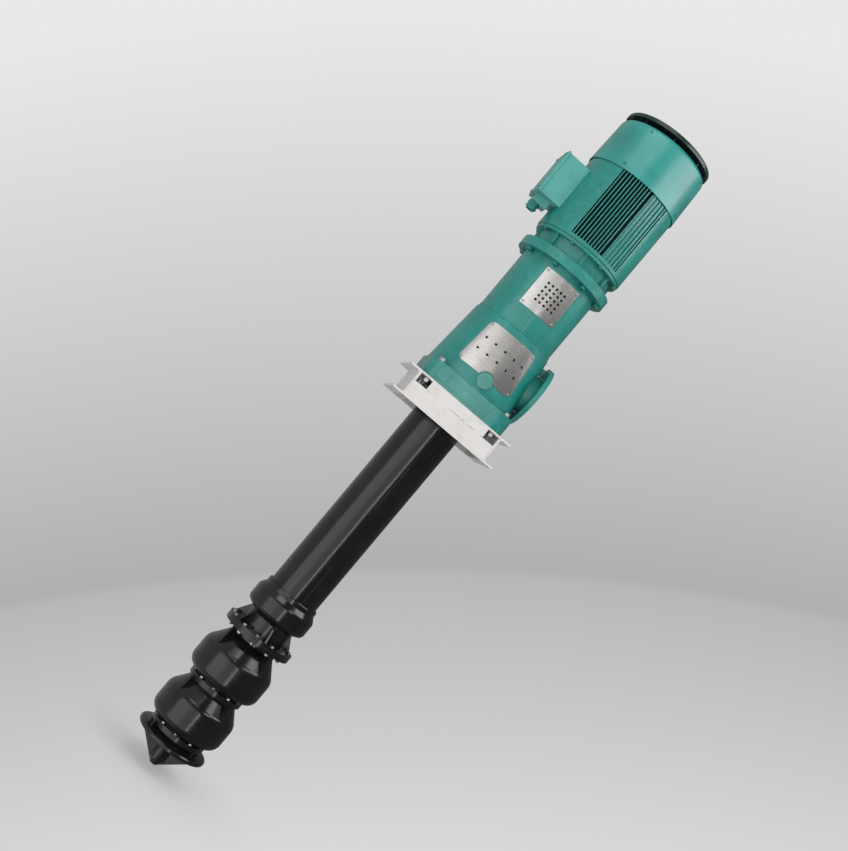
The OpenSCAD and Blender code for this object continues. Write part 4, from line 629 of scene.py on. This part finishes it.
def circle_tree():
    tree = bpy.data.node_groups.new("parts_in_a_circle", "GeometryNodeTree")
    give_inputs(tree, Part="Object", Count="Int", Circle_radius="Float", First_angle="Float",
                Height="Float", Finish="Material")
    given = add(tree, "NodeGroupInput").outputs
    step = add(tree, "ShaderNodeMath", {0: 2 * math.pi, 1: given["Count"]}, operation="DIVIDE").outputs[0]
    index = add(tree, "GeometryNodeInputIndex").outputs[0]
    angle = {0: index, 1: step, 2: given["First angle"]}
    turn = add(tree, "ShaderNodeMath", angle, operation="MULTIPLY_ADD").outputs[0]
    cosine = add(tree, "ShaderNodeMath", {0: turn}, operation="COSINE").outputs[0]
    sine = add(tree, "ShaderNodeMath", {0: turn}, operation="SINE").outputs[0]
    x = times(tree, cosine, given["Circle radius"])
    y = times(tree, sine, given["Circle radius"])
    place = add(tree, "ShaderNodeCombineXYZ", {"X": x, "Y": y, "Z": given["Height"]}).outputs[0]
    heading = add(tree, "ShaderNodeCombineXYZ", {"Z": turn}).outputs[0]
    points = add(tree, "GeometryNodePoints", {"Count": given["Count"], "Position": place}).outputs[0]
    stand_parts(tree, given, {"Points": points, "Rotation": heading})
    return tree


CIRCLE = circle_tree()


def run_tree(name, tree, carrier_mesh, **inputs):
    """Runs a tree once and keeps what it made as a plain mesh."""
    carrier = bpy.data.objects.new(name + "_carrier", carrier_mesh)
    bpy.context.scene.collection.objects.link(carrier)
    step = carrier.modifiers.new("pattern", "NODES")
    step.node_group = tree
    keys = {item.name: item.identifier for item in tree.interface.items_tree if item.in_out == "INPUT"}
    for label, value in inputs.items():
        step[keys[label.replace("_", " ")]] = value
    bpy.context.view_layer.update()
    made = carrier.evaluated_get(bpy.context.evaluated_depsgraph_get())
    mesh = bpy.data.meshes.new_from_object(made)
    carrier.modifiers.clear()
    bpy.data.objects.remove(carrier)
    mesh.name = name
    return mesh


def join_meshes(name, meshes, finish):
    shape = bmesh.new()
    for mesh in meshes:
        shape.from_mesh(mesh)
    whole = bpy.data.meshes.new(name)
    shape.to_mesh(whole)
    shape.free()
    whole.materials.clear()
    whole.materials.append(finish)
    for face in whole.polygons:
        face.material_index = 0
    made = bpy.data.objects.new(name, whole)
    bpy.context.scene.collection.objects.link(made)
    print(name, len(whole.polygons), "faces")
    return made


def circle_of(part, count, radius_mm, first_deg, height, finish):
    empty = bpy.data.meshes.new("circle_carrier")
    return run_tree(part.name + "_circle", CIRCLE, empty, Part=part, Count=count,
                    Circle_radius=radius_mm / 1000, First_angle=math.radians(first_deg),
                    Height=height, Finish=finish)


def stand_in(name, meshes, finish, node):
    """Joins the meshes to one piece of the pump's body, in place of the node's plain solids."""
    made = join_meshes(name, meshes, finish)
    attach(made, "pump_body")
    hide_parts(node)


# %% [markdown]
# ## The bolts between the flanges
#
# Sizes come from the metric table: an M12 head is 18 mm across its flats and 7.5 mm high, an M16 head
# 24 and 10. So a head is one and a half times as wide and 0.63 times as high as its thread is thick, and
# a nut 0.8 times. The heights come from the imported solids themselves, so the bolts stay on their flanges.

# %% Bolts in circles
MM = 0.001
FLATS, HEAD_SHARE, NUT_SHARE = 1.5, 0.63, 0.8
THREAD_END, SHANK_PLAY, HEAD_SEAT = 8, 0.5, 0.2


def head_height(size):
    return HEAD_SHARE * size * MM


def bolt_part(name, size, length, nut_at=None, pitch=1.75):
    """Head on z = 0, shank down to -length, and where given a nut whose seat is at nut_at."""
    def build(shape):
        hexagon_head(shape, FLATS * size * MM, 0.0, head_height(size))
        shank = (size / 2 - SHANK_PLAY) * MM
        thread_top = -(length - THREAD_END) * MM
        turned(shape, [(shank, thread_top), (shank, -HEAD_SEAT * MM)], SHANK_SIDES)
        threaded_end(shape, shank, -length * MM, thread_top, pitch * MM)
        if nut_at is not None:
            nut_low = -(nut_at + NUT_SHARE * size) * MM
            hexagon_head(shape, FLATS * size * MM, nut_low, -nut_at * MM, True)
            threaded_end(shape, shank, -length * MM, nut_low, pitch * MM)
    return pattern_part(name, build)


def flipped(part, name):
    """The same part upside down, for a bolt that is put in from below."""
    mesh = part.data.copy()
    mesh.transform(Matrix.Rotation(math.pi, 4, "X"))
    return bpy.data.objects.new(name, mesh)


BOWL_TURN, FRONT, HALF_STEP = -7.5, -90.0, 22.5
CASE_CIRCLE, LIP_CIRCLE, MOTOR_CIRCLE, COLUMN_CIRCLE = 146, 122, 200, 148
STAGE_PITCH = 0.247

case_flange_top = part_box("flange_bolts")[1].z - head_height(12)
big_bolt = bolt_part("flange_bolt_m12", 12, 45, nut_at=32)
big_ring = circle_of(big_bolt, 12, CASE_CIRCLE, FRONT + BOWL_TURN, case_flange_top, zinc)
stand_in("flange_bolt_ring", [big_ring], zinc, "flange_bolts")

screw_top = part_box("bowl_screws")[1].z - head_height(11)
lip_screw = bolt_part("bowl_screw_m11", 11, 19, pitch=1.5)
screw_rings = []
for stage in (0, 1):
    lip = screw_top - stage * STAGE_PITCH
    screw_rings.append(circle_of(lip_screw, 10, LIP_CIRCLE, FRONT + BOWL_TURN, lip, zinc))
stand_in("bowl_screw_rings", screw_rings, zinc, "bowl_screws")

motor_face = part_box("motor_flange_bolts")[1].z - head_height(16)
motor_bolt = bolt_part("motor_flange_bolt_m16", 16, 58, nut_at=42, pitch=2.0)
motor_ring = circle_of(motor_bolt, 8, MOTOR_CIRCLE, HALF_STEP, motor_face, enamel_on_stool)
stand_in("motor_flange_bolt_ring", [motor_ring], enamel_on_stool, "motor_flange_bolts")

column_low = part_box("column_bolts")[0].z + head_height(16)
column_bolt = flipped(bolt_part("column_bolt_m16", 16, 43, pitch=2.0), "column_bolt_m16_upward")
column_ring = circle_of(column_bolt, 8, COLUMN_CIRCLE, HALF_STEP, column_low, zinc)
stand_in("column_bolt_ring", [column_ring], zinc, "column_bolts")

# %% Endshield bolts, those under the frame's foot and those inside the cowl
FOOT_CIRCLE, LUG_CIRCLE = 203, 171
shield_low, shield_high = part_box("endshield_bolts")
foot_face = shield_low.z + head_height(12)
foot_bolt = flipped(bolt_part("endshield_bolt_m12", 12, 26), "endshield_bolt_m12_upward")
foot_ring = circle_of(foot_bolt, 8, FOOT_CIRCLE, HALF_STEP, foot_face, enamel_on_stool)
lug_face = shield_high.z - head_height(10)
rear_bolt = bolt_part("endshield_bolt_m10", 10, 40, pitch=1.5)
rear_ring = circle_of(rear_bolt, 4, LUG_CIRCLE, 45, lug_face, enamel_on_stool)
shield_rings = [foot_ring, rear_ring]
stand_in("endshield_bolt_rings", shield_rings, enamel_on_stool, "endshield_bolts")

# %% [markdown]
# ## Head bolts and guard screws
#
# These don't stand in a circle, so a second tree takes a cloud of points. Each point carries a
# direction, which the screw's axis is turned to: straight up for the four M20 head bolts, square to
# the sheet for the guards' M6 button screws, whose heads have a hexagon socket.
#
# The head is a cone, so the place of a screw on it follows from its height: the radius there, and the
# cone's slope for the direction. The stool is a plain cylinder.

# %% A tree that stands parts on given points
def points_tree():
    tree = bpy.data.node_groups.new("parts_on_points", "GeometryNodeTree")
    give_inputs(tree, Geometry="Geometry", Part="Object", Size="Float", Finish="Material")
    given = add(tree, "NodeGroupInput").outputs
    stored = add(tree, "GeometryNodeInputNamedAttribute", {"Name": "way"}, data_type="FLOAT_VECTOR")
    way = stored.outputs["Attribute"]
    heading = add(tree, "FunctionNodeAlignRotationToVector", {"Vector": way}, axis="Z").outputs["Rotation"]
    stand_parts(tree, given, {"Points": given["Geometry"], "Rotation": heading, "Scale": given["Size"]})
    return tree


ON_POINTS = points_tree()


def on_points(part, spots, finish, size=1.0):
    """spots are pairs of a place and a direction, in metres."""
    cloud_mesh = bpy.data.meshes.new(part.name + "_spots")
    cloud_mesh.from_pydata([tuple(place) for place, _ in spots], [], [])
    ways = cloud_mesh.attributes.new("way", "FLOAT_VECTOR", "POINT")
    for i, (_, way) in enumerate(spots):
        ways.data[i].vector = tuple(way)
    return run_tree(part.name + "_set", ON_POINTS, cloud_mesh, Part=part, Size=size, Finish=finish)


# %% Head bolts with their washers and nuts
HEAD_XY, HEAD_FLATS, HEAD_SHANK_R, HEAD_PITCH = 175, 30, 9.5, 2.5
WASHER_R, WASHER_H, WASHER_EDGE = 18.4, 3.0, (0.5, 0.4)
HEAD_LOW, HEAD_HIGH = 3.1, 15.7
NUT_END, THREAD_LOW = 19.1, 30.9
bolts_low, bolts_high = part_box("head_bolts")
plinth_top = bolts_high.z - HEAD_HIGH * MM
CLAMPED = (plinth_top - bolts_low.z) / MM - THREAD_LOW
print("head bolts clamp", round(CLAMPED, 1), "mm")


def in_metres(profile_mm):
    return [(r * MM, z * MM) for r, z in profile_mm]


def head_bolt_build(shape):
    edge_r, edge_z = WASHER_R - WASHER_EDGE[0], WASHER_H - WASHER_EDGE[1]
    turned(shape, in_metres([(WASHER_R, 0.0), (WASHER_R, edge_z), (edge_r, WASHER_H)]))
    hexagon_head(shape, HEAD_FLATS * MM, HEAD_LOW * MM, HEAD_HIGH * MM)
    below = [(edge_r, -CLAMPED - WASHER_H), (WASHER_R, -CLAMPED - edge_z), (WASHER_R, -CLAMPED)]
    turned(shape, in_metres(below))
    under = -CLAMPED * MM
    nut_low = under - NUT_END * MM
    hexagon_head(shape, HEAD_FLATS * MM, nut_low, under - HEAD_LOW * MM, True)
    threaded_end(shape, HEAD_SHANK_R * MM, under - THREAD_LOW * MM, nut_low, HEAD_PITCH * MM)
    turned(shape, [(HEAD_SHANK_R * MM, under), (HEAD_SHANK_R * MM, 0.0)], SHANK_SIDES)


head_bolt = pattern_part("head_bolt_m20", head_bolt_build)
head_spots = []
for side_x in (-1, 1):
    for side_y in (-1, 1):
        corner = (side_x * HEAD_XY * MM, side_y * HEAD_XY * MM, plinth_top)
        head_spots.append((corner, (0, 0, 1)))
head_set = on_points(head_bolt, head_spots, zinc)
stand_in("head_bolt_set", [head_set], zinc, "head_bolts")

# %% Button screws that hold the guards
BUTTON_MM = [(2.9, -8.0), (2.9, 0.0), (6.0, 0.0), (6.0, 0.5), (5.4, 1.5), (4.0, 2.3), (2.6, 2.5)]
SOCKET_FLATS, SOCKET_TOP, SOCKET_FLOOR = 4.0, 2.4, 0.9


def button_build(shape):
    rings = []
    for r, z in in_metres(BUTTON_MM):
        rings.append(ring_of(shape, lambda a, r=r: r, lambda _, z=z: z, SIDES))
    socket = hexagon_radius(SOCKET_FLATS * MM)
    for level_mm in (SOCKET_TOP, SOCKET_FLOOR):
        rings.append(ring_of(shape, socket, lambda _, z=level_mm * MM: z, SIDES))
    stack_rings(shape, rings)


button = pattern_part("button_screw_m6", button_build)

# %% Where the guards' screws stand
CONE_LOW_MM, CONE_TOP_MM = (207, 216), (512, 193)
CONE_SLOPE = (CONE_TOP_MM[1] - CONE_LOW_MM[1]) / (CONE_TOP_MM[0] - CONE_LOW_MM[0])
CONE_TILT = math.atan(-CONE_SLOPE)
SHEET_TOP = 2.2
STOOL_R, STOOL_GUARD_Z, ROW_TO_MIDDLE, COLUMN_TO_MIDDLE = 186, 697, 82, 77
LOWER_SCREWS = ((279, 36.5), (463, 33.6))
screw_spots = []


def head_radius(z_mm):
    """Radius of the head's cone, from the height and radius at its foot and at its top."""
    return CONE_LOW_MM[1] + CONE_SLOPE * (z_mm - CONE_LOW_MM[0])


def stand_screw(radius_mm, z_mm, angle, tilt):
    """Puts a screw on the sheet's outer face, square to it."""
    round_x, round_y = math.cos(angle), math.sin(angle)
    way = Vector((round_x * math.cos(tilt), round_y * math.cos(tilt), math.sin(tilt)))
    foot = Vector((radius_mm * round_x, radius_mm * round_y, z_mm)) + way * SHEET_TOP
    screw_spots.append((foot * MM, way))


upper_turn = math.degrees(math.asin(COLUMN_TO_MIDDLE / STOOL_R))
for mirror in (1, -1):
    for side in (-1, 1):
        for z_mm, turn in LOWER_SCREWS:
            angle = math.radians(mirror * (FRONT + side * turn))
            stand_screw(head_radius(z_mm), z_mm, angle, CONE_TILT)
        for dz in (-ROW_TO_MIDDLE, ROW_TO_MIDDLE):
            angle = math.radians(mirror * (FRONT + side * upper_turn))
            stand_screw(STOOL_R, STOOL_GUARD_Z + dz, angle, 0.0)
guard_set = on_points(button, screw_spots, zinc)
stand_in("guard_screw_set", [guard_set], zinc, "guard_screws")

# %% [markdown]
# ## The floor and the backdrop
#
# The floor is pale studio paper under the bell, and keeps the pump's soft shadow. Because the camera is
# rolled, its horizon would run aslant through the picture, so away from the pump the paper fades out.
#
# What is seen behind is a plain sweep of paper whose light and shade are painted: light above, darker
# where wall and floor meet as painted shade, lighter again towards the viewer. The sweep is level in the
# picture, so it hangs in the camera's own axes. It exists only in the world's shader and only for rays
# that the camera sees. Diffuse light gets an even fill from all round, and reflections get a plain grey
# that is brighter on the left.

# %% Floor and backdrop
PAPER_IN_MM, PAPER_OUT_MM, PAPER_SHARE = 150, 600, 0.6


def studio_floor():
    finish, tree, place = new_finish("Studio_paper")
    fibre = cloud(tree, place, 4.0, 3.0)
    colour = blend_colours(tree, spread(tree, fibre, 0.3, 0.7), linear("#f2f2f2"), linear("#ececec"))
    paper = add(tree, "ShaderNodeBsdfDiffuse", {"Color": colour})
    clear = add(tree, "ShaderNodeBsdfTransparent")
    path = add(tree, "ShaderNodeLightPath")
    near = times(tree, within_radius(tree, place, PAPER_OUT_MM, PAPER_IN_MM), PAPER_SHARE)
    fade = times(tree, near, path.outputs["Is Camera Ray"])
    both = add(tree, "ShaderNodeMixShader", {0: fade, 1: clear.outputs["BSDF"], 2: paper.outputs["BSDF"]})
    add(tree, "ShaderNodeOutputMaterial", {"Surface": both.outputs["Shader"]})
    return finish


FLOOR_Z = cad_low.z - 0.012
ground_mesh = bpy.data.meshes.new("studio_floor")
corners = [(x, y, FLOOR_Z) for x, y in ((-1, -1), (1, -1), (1, 1), (-1, 1))]
ground_mesh.from_pydata(corners, [], [(0, 1, 2, 3)])
floor = bpy.data.objects.new("studio_floor", ground_mesh)
floor.data.materials.append(studio_floor())
bpy.context.scene.collection.objects.link(floor)

world = bpy.data.worlds.new("studio_air")
world.use_nodes = True
world.node_tree.nodes.clear()
bpy.context.scene.world = world
air = world.node_tree
heading = add(air, "ShaderNodeTexCoord").outputs["Object"]


def along(axis):
    """How far the looked-at direction points along an axis."""
    inputs = {0: heading, 1: tuple(axis)}
    return add(air, "ShaderNodeVectorMath", inputs, operation="DOT_PRODUCT").outputs["Value"]


def reckon(first, second, how="ADD"):
    """Adds two values of the world's shader, or takes another operation on them."""
    return add(air, "ShaderNodeMath", {0: first, 1: second}, operation=how).outputs[0]


CORNER_DROP, CORNER_SAG, CORNER_SOFT = 0.077, 0.31, 0.004
WALL_TOP, GROUND_END = 0.46, -0.23
depth = reckon(along(ahead), 0.2, "MAXIMUM")
height = reckon(along(upward), depth, "DIVIDE")
aside = reckon(along(across), depth, "DIVIDE")
dip = reckon(reckon(aside, aside, "MULTIPLY"), CORNER_SAG, "MULTIPLY")
above = reckon(height, reckon(dip, CORNER_DROP))
# Painted light and shade of the paper sweep: pale high on the wall, darker at the corner, paler on the
# ground.
wall = blend_colours(air, spread(air, above, 0.0, WALL_TOP), linear("#afafaf"), linear("#e9e9e9"))
ground_tone = blend_colours(air, spread(air, above, 0.0, GROUND_END), linear("#b7b7b7"), linear("#d9d9d9"))
sweep = blend_colours(air, spread(air, above, -CORNER_SOFT, CORNER_SOFT), ground_tone, wall)
path = add(air, "ShaderNodeLightPath")
seen = reckon(path.outputs["Is Camera Ray"], path.outputs["Is Transmission Ray"], "MAXIMUM")
from_left = spread(air, along(-level), -0.1, 0.6, 0.1, 0.42)
fill = add(air, "ShaderNodeBackground", {"Color": linear("#eef1f2"), "Strength": 0.6})
dim = add(air, "ShaderNodeBackground", {"Color": (1.0, 1.0, 1.0, 1.0), "Strength": from_left})
behind = add(air, "ShaderNodeBackground", {"Color": sweep, "Strength": 1.0})
air_by_ray = {0: path.outputs["Is Glossy Ray"], 1: fill.outputs["Background"], 2: dim.outputs["Background"]}
lit = add(air, "ShaderNodeMixShader", air_by_ray)
shown_or_lit = {0: seen, 1: lit.outputs["Shader"], 2: behind.outputs["Background"]}
whole = add(air, "ShaderNodeMixShader", shown_or_lit)
add(air, "ShaderNodeOutputWorld", {"Surface": whole.outputs["Shader"]})

# %% [markdown]
# ## The lights
#
# A glossy black pipe is a record of the studio it stood in. The crisp grey band on the left of the
# column says that one wide soft box stood to the left of the camera, and the band's paler right part
# that the box faded out there. The thin bright line beyond it says that a narrow strip stood next to it.
#
# Surfaces that lean upwards mirror what hangs higher. An overhead box on the left gives the bowls'
# shoulders their highlights, and a high broad box on the right gives the cowl its own. A small box far
# to the right only glances off the motor's edge.
#
# So each box below is given by the compass angle from the camera's own direction and by the heights
# that it covers, as they are read from the highlights: a highlight where the pipe's surface is turned
# by some angle comes from a light at twice that angle. Its glow is the brightness that a mirror would
# show, so its power grows with its area.

# %% Soft boxes
CAMERA_WAY = math.atan2(EYE.y, EYE.x)


def soft_box(name, from_deg, to_deg, low_m, high_m, distance, glow):
    """A standing light that spans two angles, seen from the pump's axis, and two heights."""
    middle = CAMERA_WAY + math.radians((from_deg + to_deg) / 2)
    width = 2 * distance * math.tan(math.radians((to_deg - from_deg) / 2))
    light = bpy.data.lights.new(name, "AREA")
    light.shape = "RECTANGLE"
    light.size, light.size_y = width, high_m - low_m
    light.energy = glow * math.pi * width * (high_m - low_m)
    lamp = bpy.data.objects.new(name, light)
    bpy.context.scene.collection.objects.link(lamp)
    lamp.location = (distance * math.cos(middle), distance * math.sin(middle), (low_m + high_m) / 2)
    lamp.rotation_mode = "QUATERNION"
    lamp.rotation_quaternion = Vector((-math.cos(middle), -math.sin(middle), 0)).to_track_quat("-Z", "Y")
    print(name, "at", round(math.degrees(middle), 1), "degrees,", round(light.energy), "W")


# Degrees from and to, metres low and high, distance in metres, glow
soft_box("front_box", -56, -15, -5.0, 2.1, 5.6, 1.05)
soft_box("fading_box", -15, 12, -5.0, 2.1, 5.6, 0.7)
soft_box("strip_box", 12.5, 16.5, -3.6, 1.5, 5.6, 5.5)
soft_box("right_box", 76, 104, 1.3, 2.0, 3.0, 0.9)
soft_box("overhead_box", -55, -5, 2.4, 3.8, 2.4, 3.0)
soft_box("high_box", 30, 100, 1.9, 3.3, 3.0, 4.0)

# %% The picture's view transform
scene = bpy.context.scene
scene.view_settings.view_transform = "Standard"
